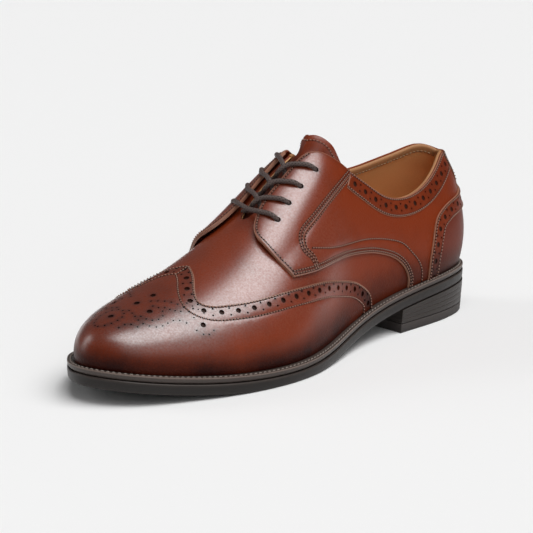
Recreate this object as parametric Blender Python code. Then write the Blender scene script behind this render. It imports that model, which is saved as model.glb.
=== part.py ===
"""Left derby shoe with wing cap brogue trim, standing empty on its heel and forefoot.

Metres, +X towards the toe, +Y towards the outer side of the foot, +Z up.
Every leather piece is cut from one function, last(), which gives the surface of the last from
two shares: round (0 heel back, 1 toe tip, 2 heel back again by the inner side) and up
(0 feather line, 1 crest).
"""
import bpy
import bmesh
import numpy as np

# last
LAST_LENGTH = 0.296
BALL_WIDTH = 0.100
INSTEP = 0.100        # height of the last over its own bottom, at the cone
HEEL_PITCH = 0.0197   # how far the heel seat lies over the ball
TOE_SPRING = 0.0094   # how far the toe tip lies over the ball

# sole
OUTSOLE = 0.0064
WELT_THICK = 0.0032
WELT_WIDTH = 0.0045   # beyond the feather line at the ball
WELT_RIM = 0.0070     # inside the feather line
EDGE_ROUND = 0.0009   # how far the sole's edge is rounded in at its bottom
HEEL_LENGTH = 0.0815
HEEL_TAPER = 0.0012
BREAST_HOLLOW = 0.0030
TOP_LIFT = 0.0056
INSOLE = 0.0026

# leather
LINED_WALL = 0.0017   # base layer of the upper with its lining
OVERLAY = 0.0010      # wing cap and quarters
COUNTER = 0.0009
TONGUE = 0.0020
TONGUE_LIFT = 0.0040  # how far the free end of the tongue stands out
TONGUE_ROUND = 0.0016 # how much lower its middle stays
FACING_RISE = 0.0028  # extra thickness of the facing, which is backed and padded
TONGUE_SLACK = 0.0007
INSOLE_SLACK = 0.0005
EYELET_RADIUS = 0.0021
LACE_RADIUS = 0.00130
SEAT = 0.0003         # gap between pieces that touch
LAYER_GAP = 0.00045   # gap between the lined wall and what lies over it

STACK = OUTSOLE + WELT_THICK

# Rows of the last: round the outline, heel to toe. x is a share of LAST_LENGTH, y of BALL_WIDTH;
# bulge and reach are shares of BALL_WIDTH, rise and drop of INSTEP.
STATIONS = (
    # outer x, outer y, inner x, inner y, crest x, crest y, bulge, rise, reach, drop
    (0.003, 0.000, 0.003, 0.000, 0.033, 0.000, 0.084, 0.273, 0.190, 0.564),
    (0.028, 0.188, 0.028, -0.183, 0.052, 0.030, 0.077, 0.273, 0.190, 0.564),
    (0.096, 0.287, 0.096, -0.282, 0.096, 0.040, 0.063, 0.298, 0.172, 0.546),
    (0.210, 0.315, 0.215, -0.295, 0.220, 0.035, 0.054, 0.322, 0.172, 0.471),
    (0.350, 0.319, 0.370, -0.264, 0.330, 0.015, 0.045, 0.347, 0.200, 0.198),
    (0.470, 0.378, 0.500, -0.330, 0.420, 0.000, 0.045, 0.322, 0.240, 0.000),
    (0.585, 0.468, 0.610, -0.440, 0.540, 0.000, 0.044, 0.254, 0.280, 0.000),
    (0.680, 0.488, 0.710, -0.500, 0.650, 0.000, 0.044, 0.223, 0.300, 0.000),
    (0.790, 0.425, 0.805, -0.468, 0.770, 0.000, 0.040, 0.205, 0.280, 0.000),
    (0.887, 0.310, 0.890, -0.405, 0.850, 0.000, 0.028, 0.213, 0.200, 0.000),
    (0.970, 0.150, 0.962, -0.245, 0.888, 0.000, 0.025, 0.217, 0.120, 0.000),
    (1.000, -0.055, 1.000, -0.055, 0.897, 0.000, 0.025, 0.217, 0.100, 0.000),
)
CREST_SPLIT = (0.30, 0.40)   # x shares between which the two sides of the crest close up

# Bottom line: x share of LAST_LENGTH, then shares of HEEL_PITCH and TOE_SPRING.
BOTTOM = (
    (-0.05, 1.008, 0.00), (0.00, 1.000, 0.00), (0.12, 0.942, 0.00), (0.25, 0.774, 0.00),
    (0.38, 0.475, 0.00), (0.50, 0.150, 0.00), (0.60, 0.003, 0.00), (0.70, -0.018, 0.00),
    (0.82, 0.000, 0.165), (0.92, 0.000, 0.570), (1.00, 0.000, 0.995), (1.05, 0.000, 1.260),
)
# Crest: x share of LAST_LENGTH, share of INSTEP over the bottom line, y share of BALL_WIDTH.
CREST = (
    (-0.10, 0.881, 0.000), (0.05, 0.938, 0.000), (0.20, 1.000, 0.000), (0.30, 1.023, 0.000),
    (0.375, 1.016, 0.000), (0.45, 0.972, -0.002), (0.54, 0.842, -0.006), (0.65, 0.629, -0.015),
    (0.77, 0.465, -0.031), (0.86, 0.354, -0.044), (0.93, 0.265, -0.051), (1.00, 0.164, -0.055),
)
# Welt beyond the feather line: x share, share of WELT_WIDTH.
WELT = ((0.00, 0.80), (0.20, 0.72), (0.40, 0.82), (0.60, 1.00), (0.80, 1.02), (0.93, 0.92), (1.00, 0.76))

# Collar and the top of the facing: round, up on the outer side, up on the inner side.
TOPLINE = (
    (0.000, 0.835, 0.835), (0.040, 0.843, 0.850), (0.086, 0.816, 0.838), (0.133, 0.729, 0.797),
    (0.171, 0.654, 0.762), (0.209, 0.599, 0.725), (0.263, 0.559, 0.680), (0.313, 0.564, 0.665),
    (0.359, 0.612, 0.675), (0.401, 0.666, 0.700), (0.434, 0.732, 0.745), (0.462, 0.792, 0.797),
    (0.489, 0.859, 0.859), (0.507, 0.896, 0.896),
)
THROAT_END = 0.640       # round share where the opening of the lined wall closes on the crest
# Edges of the overlays: round, up.
FACING_FRONT = ((0.507, 0.896), (0.520, 0.908), (0.540, 0.912), (0.579, 0.917), (0.613, 0.913),
                (0.633, 0.881), (0.645, 0.838), (0.648, 0.783))
FACING_NOSE = ((0.617, 0.476), (0.634, 0.597), (0.645, 0.713), (0.648, 0.783))
DERBY_EDGE = ((0.264, 0.000), (0.265, 0.058), (0.272, 0.113), (0.284, 0.163), (0.305, 0.213),
              (0.332, 0.248), (0.365, 0.275), (0.415, 0.302), (0.470, 0.333), (0.555, 0.398),
              (0.617, 0.476))
WING_SIDE = ((0.376, 0.000), (0.383, 0.078), (0.402, 0.135))
WING_EDGE = ((0.402, 0.135), (0.435, 0.195), (0.480, 0.250), (0.535, 0.320), (0.595, 0.392),
             (0.642, 0.444), (0.681, 0.481), (0.716, 0.514), (0.747, 0.551), (0.771, 0.594),
             (0.781, 0.649))
WING_PEAK = ((0.781, 0.649), (0.779, 0.712), (0.770, 0.790), (0.757, 0.872), (0.742, 1.000))
COUNTER_TOP = ((0.000, 0.655), (0.049, 0.600), (0.090, 0.558), (0.123, 0.520), (0.150, 0.474),
               (0.169, 0.426))
COUNTER_FRONT = ((0.208, 0.000), (0.205, 0.145), (0.193, 0.276), (0.184, 0.351), (0.169, 0.426))
BACK_SEAM = 0.0012       # round share that each quarter keeps from the heel's centre line
FACING_SWELL = ((0.40, 0.12), (0.50, 0.25))   # start and length of the swell, round and up
# Rear edge of the tongue: up, round.
TONGUE_EDGE = ((0.670, 0.392), (0.740, 0.413), (0.820, 0.434), (0.910, 0.455), (1.000, 0.468))
TONGUE_FRONT = 0.690
# Eyelets, lowest first: round, up.
FACING_RIM = 0.905       # up share where a lace turns over the facing's front edge
EYELETS = ((0.607, 0.766), (0.578, 0.777), (0.547, 0.781), (0.508, 0.778))
EYELET_SIDES = 8
UP_TO_ROUND = 0.30       # length of a share of up against one of round, for spacing points

SNAP = 1e-6              # shares this near to the feather line or the crest are on it

# Mesh density.
WAIST = 0.30             # round share where the heel's columns end
HEEL_COLUMNS = 11
FACING_COLUMNS = 9
THROAT_COLUMNS = 6
TOE_COLUMNS = 13
WALL_ROWS = 8


def second_slopes(t, y, closed):
    """Second derivatives at the knots of a cubic spline, natural or closed."""
    h = np.diff(t)
    n = len(t) - 1 if closed else len(t)
    a = np.zeros((n, n)) if closed else np.eye(n)
    r = np.zeros((n,) + y.shape[1:])
    for i in range(0 if closed else 1, n if closed else n - 1):
        left, right = h[i - 1], h[i]
        before = y[i - 1] if i else y[n - 1]
        a[i, i - 1] = left
        a[i, i] = 2 * (left + right)
        a[i, (i + 1) % n] = right
        r[i] = 6 * ((y[i + 1] - y[i]) / right - (y[i] - before) / left)
    s = np.linalg.solve(a, r)
    return np.concatenate([s, s[:1]]) if closed else s


def spline(t, y, q, closed=False):
    """Cubic spline through y at knots t, read at q."""
    t, y, q = np.asarray(t, float), np.asarray(y, float), np.asarray(q, float)
    m = second_slopes(t, y, closed)
    i = np.clip(np.searchsorted(t, q, side="right") - 1, 0, len(t) - 2)
    step = (Ellipsis,) + (None,) * (y.ndim - 1)
    h = (t[i + 1] - t[i])[step]
    b = (q - t[i])[step] / h
    a = 1 - b
    return a * y[i] + b * y[i + 1] + ((a**3 - a) * m[i] + (b**3 - b) * m[i + 1]) * h * h / 6


def smooth(x):
    x = np.clip(x, 0.0, 1.0)
    return x * x * (3 - 2 * x)


def bottom(x):
    """Height of the feather line, which is the welt's top."""
    k = np.array(BOTTOM)
    lift = k[:, 1] * HEEL_PITCH + k[:, 2] * TOE_SPRING
    return STACK + spline(k[:, 0] * LAST_LENGTH, lift, x)


def crest(x):
    """Height and y of the crest line over x."""
    k = np.array(CREST)
    both = spline(k[:, 0] * LAST_LENGTH, k[:, 1:] * (INSTEP, BALL_WIDTH), x)
    return bottom(x) + both[..., 0], both[..., 1]


def station_rows():
    """Closed spline rows of STATIONS over round, with their knots."""
    s = np.array(STATIONS)
    size = np.array((LAST_LENGTH, BALL_WIDTH, LAST_LENGTH, BALL_WIDTH, BALL_WIDTH, INSTEP, BALL_WIDTH, INSTEP))
    outer = s[:, (0, 1, 4, 5, 6, 7, 8, 9)] * size
    inner = s[:, (2, 3, 4, 5, 6, 7, 8, 9)] * size * (1, 1, 1, -1, 1, 1, 1, 1)
    step = sum(np.linalg.norm(np.diff(side[:, :2], axis=0), axis=1) for side in (outer, inner))
    t = np.concatenate([[0.0], np.cumsum(step)]) / step.sum()
    return np.concatenate([t, 2 - t[-2::-1]]), np.concatenate([outer, inner[-2::-1]])


KNOTS, ROWS = station_rows()


def outline(t):
    """Feather line and its outward direction in plan."""
    e = 1e-5
    p = spline(KNOTS, ROWS[:, :2], t % 2.0, True)
    d = spline(KNOTS, ROWS[:, :2], (t + e) % 2.0, True) - spline(KNOTS, ROWS[:, :2], (t - e) % 2.0, True)
    n = np.stack([-d[..., 1], d[..., 0]], -1)
    return p, n / np.linalg.norm(n, axis=-1, keepdims=True)


def last(t, v):
    """Surface of the last: a cubic rib from the feather line to the crest at each share round."""
    t, v = np.broadcast_arrays(np.asarray(t, float), np.asarray(v, float))
    foot, n = outline(t)
    cx, cy, bulge, rise, reach, drop = np.moveaxis(spline(KNOTS, ROWS[:, 2:], t % 2.0, True), -1, 0)
    start, end = (share * LAST_LENGTH for share in CREST_SPLIT)
    top, middle = crest(cx)
    p0 = np.concatenate([foot, bottom(foot[..., 0])[..., None]], -1)
    p3 = np.stack([cx, cy * (1 - smooth((cx - start) / (end - start))) + middle, top], -1)
    p1 = p0 + np.concatenate([n * bulge[..., None], rise[..., None]], -1)
    out = p0[..., :2] - p3[..., :2]
    q = p3[..., :2] + out / np.linalg.norm(out, axis=-1, keepdims=True) * reach[..., None]
    p2 = np.concatenate([q, (crest(q[..., 0])[0] - drop)[..., None]], -1)
    v = v[..., None]
    return (1 - v)**3 * p0 + 3 * (1 - v)**2 * v * p1 + 3 * (1 - v) * v * v * p2 + v**3 * p3


def facing_out(t, v):
    """Outward unit normal of the last."""
    t, v = np.broadcast_arrays(np.asarray(t, float), np.asarray(v, float))
    e = 1e-4
    w = np.clip(v, e, 0.998)
    n = np.cross(last(t, w + e) - last(t, w - e), last(t + e, w) - last(t - e, w))
    n /= np.linalg.norm(n, axis=-1, keepdims=True)
    x = last(t, v)[..., 0]
    slope = (crest(x + e)[0] - crest(x - e)[0]) / (2 * e)
    up = np.stack([-slope, 0 * slope, 1 + 0 * slope], -1) / np.hypot(slope, 1)[..., None]
    return np.where((v > 1.0 - SNAP)[..., None], up, n)


def skin(t, v, depth):
    """The last moved out by depth; its foot is cut level, just over the welt."""
    t, v = np.broadcast_arrays(np.asarray(t, float), np.asarray(v, float))
    depth = np.broadcast_to(depth, t.shape)[..., None]
    p = last(t, v) + facing_out(t, v) * depth
    foot, n = outline(t)
    foot = foot + n * depth
    foot = np.concatenate([foot, (bottom(foot[..., 0]) + SEAT)[..., None]], -1)
    return np.where((v < SNAP)[..., None], foot, p)


def facing_rise(t, v):
    """Extra height of the padded facing over the last."""
    t = np.minimum(t, 2 - t)
    return FACING_RISE * smooth((t - FACING_SWELL[0][0]) / FACING_SWELL[0][1]) * smooth(
        (v - FACING_SWELL[1][0]) / FACING_SWELL[1][1])


def path(points, shares):
    """Smooth curve through (round, up) points, read at shares of its length."""
    p = np.asarray(points, float)
    step = np.hypot(np.diff(p[:, 0]), np.diff(p[:, 1]) * UP_TO_ROUND)
    t = np.concatenate([[0.0], np.cumsum(step)])
    return spline(t, p, np.asarray(shares) * t[-1])


def joined_path(parts, counts):
    """Curves end to end, each cut in its own count of steps."""
    runs = [path(p, np.linspace(0, 1, n + 1)) for p, n in zip(parts, counts)]
    return np.concatenate([runs[0]] + [r[1:] for r in runs[1:]])


def patch(low, high, left, right, rows):
    """Grid of (round, up) filled between four sides, with its rows at the given shares."""
    u = np.linspace(0, 1, len(low))[:, None, None]
    w = rows[None, :, None]
    low, high, left, right = low[:, None], high[:, None], left[None], right[None]
    corners = ((1 - u) * (1 - w) * left[:, :1] + u * (1 - w) * right[:, :1]
               + (1 - u) * w * left[:, -1:] + u * w * right[:, -1:])
    return (1 - w) * low + w * high + (1 - u) * left + u * right - corners


def slab(grid, out, thick, rims):
    """Outer face, inner face and the named rims (l, r, b, t) of a sheet over a (round, up) grid."""
    outer = skin(grid[..., 0], grid[..., 1], out)
    inner = skin(grid[..., 0], grid[..., 1], np.asarray(out) - thick)
    pick = {"l": (0, slice(None)), "r": (-1, slice(None)), "b": (slice(None), 0), "t": (slice(None), -1)}
    return [outer, inner] + [np.stack([outer[pick[r]], inner[pick[r]]]) for r in rims]


def other_side(grid):
    """The same shares on the inner side of the foot."""
    return np.stack([2 - grid[..., 0], grid[..., 1]], -1)


def material(name, colour, roughness, metallic=0.0):
    m = bpy.data.materials.new(name)
    m.use_nodes = True
    shader = m.node_tree.nodes["Principled BSDF"]
    shader.inputs["Base Color"].default_value = (*colour, 1.0)
    shader.inputs["Roughness"].default_value = roughness
    shader.inputs["Metallic"].default_value = metallic
    return m


def solid(name, grids, look, sharp=40):
    """One closed body welded from grids of points."""
    mesh = bpy.data.meshes.new(name)
    bm = bmesh.new()
    for g in grids:
        rows = [[bm.verts.new(p) for p in row] for row in g]
        for a, b in zip(rows, rows[1:]):
            for i in range(len(a) - 1):
                bm.faces.new((a[i], b[i], b[i + 1], a[i + 1]))
    bmesh.ops.remove_doubles(bm, verts=bm.verts, dist=2e-6)
    bmesh.ops.dissolve_degenerate(bm, dist=1e-6, edges=bm.edges)
    bmesh.ops.recalc_face_normals(bm, faces=bm.faces)
    bm.to_mesh(mesh)
    bm.free()
    mesh.shade_smooth()
    mesh.set_sharp_from_angle(angle=np.radians(sharp))
    mesh.materials.append(look)
    body = bpy.data.objects.new(name, mesh)
    bpy.context.collection.objects.link(body)
    return body


def cut(body, cutter, operation="DIFFERENCE"):
    """Exact Boolean of two bodies; the second stays hidden as a guide."""
    m = body.modifiers.new(operation.title(), "BOOLEAN")
    m.operation = operation
    m.solver = "EXACT"
    m.object = cutter
    cutter.hide_render = True
    cutter.display_type = "WIRE"


def side_columns(start, end, count):
    """Shares round from start to end, closer together where the outline turns."""
    fine = np.linspace(start, end, 400)
    p, n = outline(fine)
    turn = np.linalg.norm(np.diff(n, axis=0), axis=1)
    cost = np.linalg.norm(np.diff(p, axis=0), axis=1) / LAST_LENGTH + turn * 0.14
    total = np.concatenate([[0.0], np.cumsum(cost)])
    return np.interp(np.linspace(0, total[-1], count + 1), total, fine)


def opening(t, side):
    """Up share of the lined wall's top edge: collar, facing, then the rounded end of the throat."""
    k = np.array(TOPLINE)
    start, foot = k[-1, 0], k[-1, side]
    s = np.clip((t - start) / (THROAT_END - start), 0.0, 1.0)
    return np.where(t <= start, spline(k[:, 0], k[:, side], t), 1 - (1 - foot) * np.sqrt(1 - s * s))


def upper(look):
    """Lined wall of the whole upper: open at the collar, the throat and underneath."""
    out = -(OVERLAY + LAYER_GAP)
    w = np.linspace(0, 1, WALL_ROWS + 1)
    facing = TOPLINE[-1][0]
    turn = facing + (THROAT_END - facing) * np.sin(np.linspace(0, np.pi / 2, THROAT_COLUMNS + 1))
    rear = np.concatenate([side_columns(0.0, WAIST, HEEL_COLUMNS),
                           np.linspace(WAIST, facing, FACING_COLUMNS + 1)[1:], turn[1:]])
    front = side_columns(THROAT_END, 1.0, TOE_COLUMNS)
    grids = []
    for side in (1, 2):
        turned = other_side if side == 2 else np.asarray
        back = np.stack([rear[:, None] + 0 * w, opening(rear, side)[:, None] * w], -1)
        toe = np.stack([front[:, None] + 0 * w, w + 0 * front[:, None]], -1)
        grids += slab(turned(back), out, LINED_WALL, "bt") + slab(turned(toe), out, LINED_WALL, "b")
    return solid("upper", grids, look)


def collar_ribs(t, side, rows):
    """Ribs from the feather line up to the collar, at shares round."""
    k = np.array(TOPLINE)
    t = np.asarray(t)[:, None]
    return np.stack([t + 0 * rows, spline(k[:, 0], k[:, side], t) * rows], -1)


def quarter(name, side, look):
    """Quarter with its facing, open laced over the vamp."""
    collar, front = 9, 9
    rows = np.linspace(0, 1, 9)
    corner = DERBY_EDGE[0][0]
    rear = collar_ribs(side_columns(BACK_SEAM, corner, 11), side, rows)
    rest = [(corner, rear[-1, -1, 1])] + [(row[0], row[side]) for row in TOPLINE if row[0] > corner]
    low = path(DERBY_EDGE, np.linspace(0, 1, collar + front + 1))
    high = joined_path((rest, FACING_FRONT), (collar, front))
    grid = patch(low, high, rear[-1], path(FACING_NOSE, rows), rows)
    grid = np.concatenate([rear, grid[1:]])
    grid = other_side(grid) if side == 2 else grid
    swell = facing_rise(grid[..., 0], grid[..., 1])
    return solid(name, slab(grid, swell, OVERLAY + swell, "lrbt"), look)


def wing_cap(look):
    """Toe cap with wings that run back to the waist on both sides."""
    edge, peak, toe = 9, 5, 7
    rows = np.linspace(0, 1, 9)
    dip = WING_EDGE[-1][0]
    low = np.concatenate([side_columns(WING_SIDE[0][0], dip, edge), side_columns(dip, 1.0, peak + toe)[1:]])
    low = np.stack([low, 0 * low], -1)
    crest_run = ((WING_PEAK[-1][0], 1.0), (0.87, 1.0), (1.0, 1.0))
    high = joined_path((WING_EDGE, WING_PEAK, crest_run), (edge, peak, toe))
    right = np.stack([np.ones(len(rows)), rows], -1)
    grid = patch(low, high, path(WING_SIDE, rows), right, rows)
    grids = []
    for half in (grid, other_side(grid)):
        grids += slab(half[:edge + peak + 1], 0.0, OVERLAY, "lbt") + slab(half[edge + peak:], 0.0, OVERLAY, "b")
    return solid("wing_cap", grids, look)


def heel_counter(look):
    """Counter wrapped round the back of the heel, over both quarters."""
    columns = 11
    rows = np.linspace(0, 1, 6)
    low = np.stack([side_columns(0.0, COUNTER_FRONT[0][0], columns), np.zeros(columns + 1)], -1)
    high = path(COUNTER_TOP, np.linspace(0, 1, columns + 1))
    left = np.stack([0 * rows, COUNTER_TOP[0][1] * rows], -1)
    grid = patch(low, high, left, path(COUNTER_FRONT, rows), rows)
    grids = []
    for half in (grid, other_side(grid)):
        grids += slab(half, SEAT + COUNTER, COUNTER, "rbt")
    return solid("heel_counter", grids, look)


def tongue(look):
    """Tongue under the facings, its free end standing up over them."""
    length, half = 9, 6
    k = np.array(TONGUE_EDGE)
    v = np.linspace(k[0, 0], 1.0, half + 1)
    rear = spline(k[:, 0], k[:, 1], v)
    r = np.linspace(0, 1, length + 1)[:, None]
    grid = np.stack([rear + (TONGUE_FRONT - rear) * r, v + 0 * r], -1)
    loose = 0.05 + 0.12 * smooth((v - 0.70) / 0.2)
    free = (1 - smooth(r / loose)) * smooth((v - 0.70) / 0.15)
    lift = TONGUE_LIFT - TONGUE_ROUND * smooth((v - 0.85) / 0.15)
    out = -(OVERLAY + LAYER_GAP + LINED_WALL + TONGUE_SLACK) + lift * free
    return solid("tongue", slab(grid, out, TONGUE, "lrb") + slab(other_side(grid), out, TONGUE, "lrb"), look)


def welt_beyond(t):
    """Welt's width beyond the feather line."""
    k = np.array(WELT)
    return spline(k[:, 0], k[:, 1], outline(t)[0][..., 0] / LAST_LENGTH) * WELT_WIDTH


def ring(t, beyond, height):
    """Points round the outline at a plan offset; height is a function of x."""
    p, n = outline(t)
    p = p + n * np.asarray(beyond)[..., None]
    return np.concatenate([p, height(p[..., 0])[..., None]], -1)


def ladder(outer, inner, height, across=5):
    """Grid across the shoe between two half rings, at a height worked out from x."""
    w = np.linspace(0, 1, across + 1)[None, :, None]
    g = outer[:, None] * (1 - w) + inner[:, None] * w
    return np.concatenate([g[..., :2], height(g[..., 0])[..., None]], -1)


def plate(name, t, levels, look, across=4):
    """Closed plate from a stack of outline rings, each given by its offset and height."""
    halves = [[ring(side, offset(side), height) for offset, height in levels] for side in (t, 2 - t)]
    grids = [np.stack(half) for half in halves]
    for i in (0, -1):
        grids.append(ladder(halves[0][i], halves[1][i], levels[i][1], across))
    if t[-1] < 1.0:
        ends = [ladder(halves[0][i], halves[1][i], levels[i][1], across)[-1] for i in range(len(levels))]
        grids.append(np.stack(ends))
    return solid(name, grids, look)


def sole_under(x):
    """Tread surface of the outsole, flat where the forefoot stands."""
    return np.maximum(bottom(x) - STACK, 0.0)


def outsole(look):
    """Outsole with a raised middle that fills the welt's frame."""
    def inside(t):
        return -WELT_RIM - SEAT + 0 * t

    def trimmed(t):
        return welt_beyond(t) - EDGE_ROUND

    def under_welt(x):
        return bottom(x) - WELT_THICK - SEAT

    def halfway(x):
        return (under_welt(x) + sole_under(x)) / 2

    levels = ((inside, bottom), (inside, under_welt), (welt_beyond, under_welt), (welt_beyond, halfway),
              (trimmed, sole_under))
    return plate("outsole", side_columns(0.0, 1.0, 30), levels, look)


def welt(look):
    """Flat leather frame between the upper and the outsole."""
    t = side_columns(0.0, 1.0, 32)
    section = ((lambda s: welt_beyond(s), 0.0), (lambda s: -WELT_RIM + 0 * s, 0.0),
               (lambda s: -WELT_RIM + 0 * s, -WELT_THICK), (lambda s: welt_beyond(s), -WELT_THICK))
    grids = []
    for side in (t, 2 - t):
        loops = [ring(side, offset(side), lambda x, drop=drop: bottom(x) + drop) for offset, drop in section]
        grids.append(np.stack(loops + loops[:1]))
    return solid("welt", grids, look)


def insole(look):
    """Sock-lined insole on the welt and the filled middle."""
    inset = OVERLAY + LAYER_GAP + LINED_WALL + INSOLE_SLACK

    def edge(t):
        return -inset + 0 * t

    levels = ((edge, lambda x: bottom(x) + SEAT + INSOLE), (edge, lambda x: bottom(x) + SEAT))
    return plate("insole", side_columns(0.0, 1.0, 24), levels, look)


def heel_piece(name, levels, look):
    """Heel block cut off square at the breast, which is slightly hollow."""
    t = side_columns(0.0, 0.45, 90)
    reach = [t[np.argmax(ring(side, welt_beyond(side), bottom)[:, 0] > HEEL_LENGTH)] for side in (t, 2 - t)]
    columns, across = 12, 6
    w = np.linspace(-1, 1, across + 1)
    halves = []
    for end, mirror in zip(reach, (False, True)):
        s = side_columns(0.0, end, columns)
        s = 2 - s if mirror else s
        rows = []
        for inset, height in levels:
            r = ring(s, welt_beyond(s) - inset, height)
            r[-1, 0] = HEEL_LENGTH
            r[-1, 2] = height(HEEL_LENGTH)
            rows.append(r)
        halves.append(np.stack(rows))
    grids = list(halves)
    caps = [ladder(halves[0][i], halves[1][i], levels[i][1], across) for i in (0, -1)]
    for cap, (inset, height) in zip(caps, (levels[0], levels[-1])):
        hollow = np.linspace(0, 1, columns + 1)[:, None] ** 4 * (1 - w * w) * BREAST_HOLLOW
        cap[..., 0] -= hollow
        cap[..., 2] = height(cap[..., 0])
        grids.append(cap)
    grids.append(np.stack([cap[-1] for cap in caps]))
    return solid(name, grids, look)


def heel(stack_look, lift_look):
    """Heel stack under the outsole and the top lift that it stands on."""
    def over(x):
        return bottom(x) - STACK - SEAT

    def joint(x):
        return TOP_LIFT + SEAT + 0 * x

    def lift_top(x):
        return TOP_LIFT + 0 * x

    def floor(x):
        return 0 * x

    joint_inset = HEEL_TAPER * 0.7
    heel_piece("heel_stack", ((0.0, over), (joint_inset, joint)), stack_look)
    heel_piece("top_lift", ((joint_inset, lift_top), (HEEL_TAPER, floor)), lift_look)


def tube(name, points, radius, look, sides=6):
    """Round cord along points, with flat ends."""
    p = np.asarray(points, float)
    along = np.gradient(p, axis=0)
    along /= np.linalg.norm(along, axis=1, keepdims=True)
    a = np.cross(along, (1.0, 0.0, 0.3))
    a /= np.linalg.norm(a, axis=1, keepdims=True)
    b = np.cross(along, a)
    turn = np.linspace(0, 2 * np.pi, sides + 1)
    skin_grid = p[:, None] + radius * (a[:, None] * np.cos(turn)[:, None] + b[:, None] * np.sin(turn)[:, None])
    caps = [np.stack([np.repeat(p[i][None], sides + 1, 0), skin_grid[i]]) for i in (0, -1)]
    return solid(name, [skin_grid] + caps, look, 60)


def lace_run(stops, count):
    """Smooth run through (side, round, up, height over the facing) stops."""
    p = np.array([skin(t if side > 0 else 2 - t, v, h + facing_rise(t, v)) for side, t, v, h in stops])
    step = np.concatenate([[0.0], np.cumsum(np.linalg.norm(np.diff(p, axis=0), axis=1))])
    return spline(step, p, np.linspace(0, step[-1], count))


def laces(look):
    """One straight bar and three crossings, each joined where its two strands touch."""
    over = LACE_RADIUS + SEAT
    under = FACING_RISE + SEAT
    t, v = EYELETS[0]
    half = [(t, v, over + SEAT), (t + 0.005, 0.84, over + SEAT), (t + 0.012, FACING_RIM, over)]
    bar = [(1, *stop) for stop in half] + [(1, t + 0.017, 1.0, over * 0.3)]
    bar += [(-1, *stop) for stop in half[::-1]]
    tube("lace_bar", lace_run(bar, 11), LACE_RADIUS, look)
    for k, (t, v) in enumerate(EYELETS[1:], start=2):
        strands = []
        for side in (1, -1):
            run = [(-side, t + 0.031, 0.955, -under), (-side, t + 0.029, 0.985, -under * 0.5),
                   (side, t + 0.024, 0.975, over * 0.4), (side, t + 0.016, FACING_RIM, over),
                   (side, t + 0.007, 0.84, over + SEAT), (side, t, v, over + SEAT)]
            strands.append(tube("lace_cross_%d" % k if side > 0 else "lace_strand_%d" % k,
                                lace_run(run, 9), LACE_RADIUS, look))
        cut(strands[0], strands[1], "UNION")


def eyelet_drills(name, side, look):
    """Four drills square to the facing, as one cutter."""
    low = -(OVERLAY + LAYER_GAP + LINED_WALL) - 2 * EYELET_RADIUS
    high = FACING_RISE + 2 * EYELET_RADIUS
    turn = np.linspace(0, 2 * np.pi, EYELET_SIDES + 1)[:, None]
    grids = []
    for t, v in EYELETS:
        t = t if side == 1 else 2 - t
        p, n = skin(t, v, 0.0), facing_out(t, v)
        a = np.cross(n, (1.0, 0.0, 0.0))
        a /= np.linalg.norm(a)
        circle = EYELET_RADIUS * (np.cos(turn) * a + np.sin(turn) * np.cross(n, a))
        ends = [np.repeat((p + n * h)[None], EYELET_SIDES + 1, 0) for h in (low, high)]
        grids.append(np.stack([ends[0], ends[0] + circle, ends[1] + circle, ends[1]]))
    return solid(name, grids, look)


def punch_eyelets(wall, facings, look):
    """Round lace holes through each facing and the lined wall behind it."""
    for side, facing in enumerate(facings, start=1):
        drills = eyelet_drills("eyelet_drills_%d" % side, side, look)
        cut(facing, drills)
        cut(wall, drills)


def centre_on_origin():
    """Moves the finished shoe so that its box stands on the origin, centred."""
    bodies = [o for o in bpy.data.objects if o.type == "MESH"]
    shown = [o for o in bodies if not o.hide_render]
    corners = np.array([v.co for o in shown for v in o.data.vertices])
    low, high = corners.min(axis=0), corners.max(axis=0)
    frame = bpy.data.objects.new("shoe_frame", None)
    frame.location = (-(low[0] + high[0]) / 2, -(low[1] + high[1]) / 2, 0.0)
    bpy.context.collection.objects.link(frame)
    for body in bodies:
        body.parent = frame


def main():
    for o in list(bpy.data.objects):
        bpy.data.objects.remove(o, do_unlink=True)
    cognac = material("cognac_leather", (0.19, 0.045, 0.014), 0.32)
    dark = material("dark_leather", (0.12, 0.026, 0.010), 0.35)
    lining = material("tan_lining", (0.36, 0.17, 0.06), 0.6)
    edge = material("sole_edge", (0.055, 0.042, 0.036), 0.45)
    rubber = material("black_rubber", (0.030, 0.025, 0.023), 0.6)
    cord = material("waxed_cord", (0.045, 0.032, 0.028), 0.5)

    wall = upper(cognac)
    outer = quarter("quarter_lateral", 1, cognac)
    inner = quarter("quarter_medial", 2, cognac)
    wing_cap(cognac)
    heel_counter(dark)
    tongue(dark)
    insole(lining)
    welt(edge)
    outsole(edge)
    heel(edge, rubber)
    laces(cord)
    punch_eyelets(wall, (outer, inner), cord)
    centre_on_origin()


main()
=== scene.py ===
# %% [markdown]
# # A burnished wing tip derby shoe
# One left shoe stands empty on its heel and forefoot. Its leather pieces are cut from one surface, the
# last, which is the wooden foot that a shoemaker works over. Each cell below makes one piece or finish.
# The CAD solids say where everything is. The pieces here replace them with leather that has cut edges,
# punched holes and real stitches.

import bpy
import numpy as np
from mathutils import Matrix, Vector
from mathutils.geometry import delaunay_2d_cdt


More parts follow.
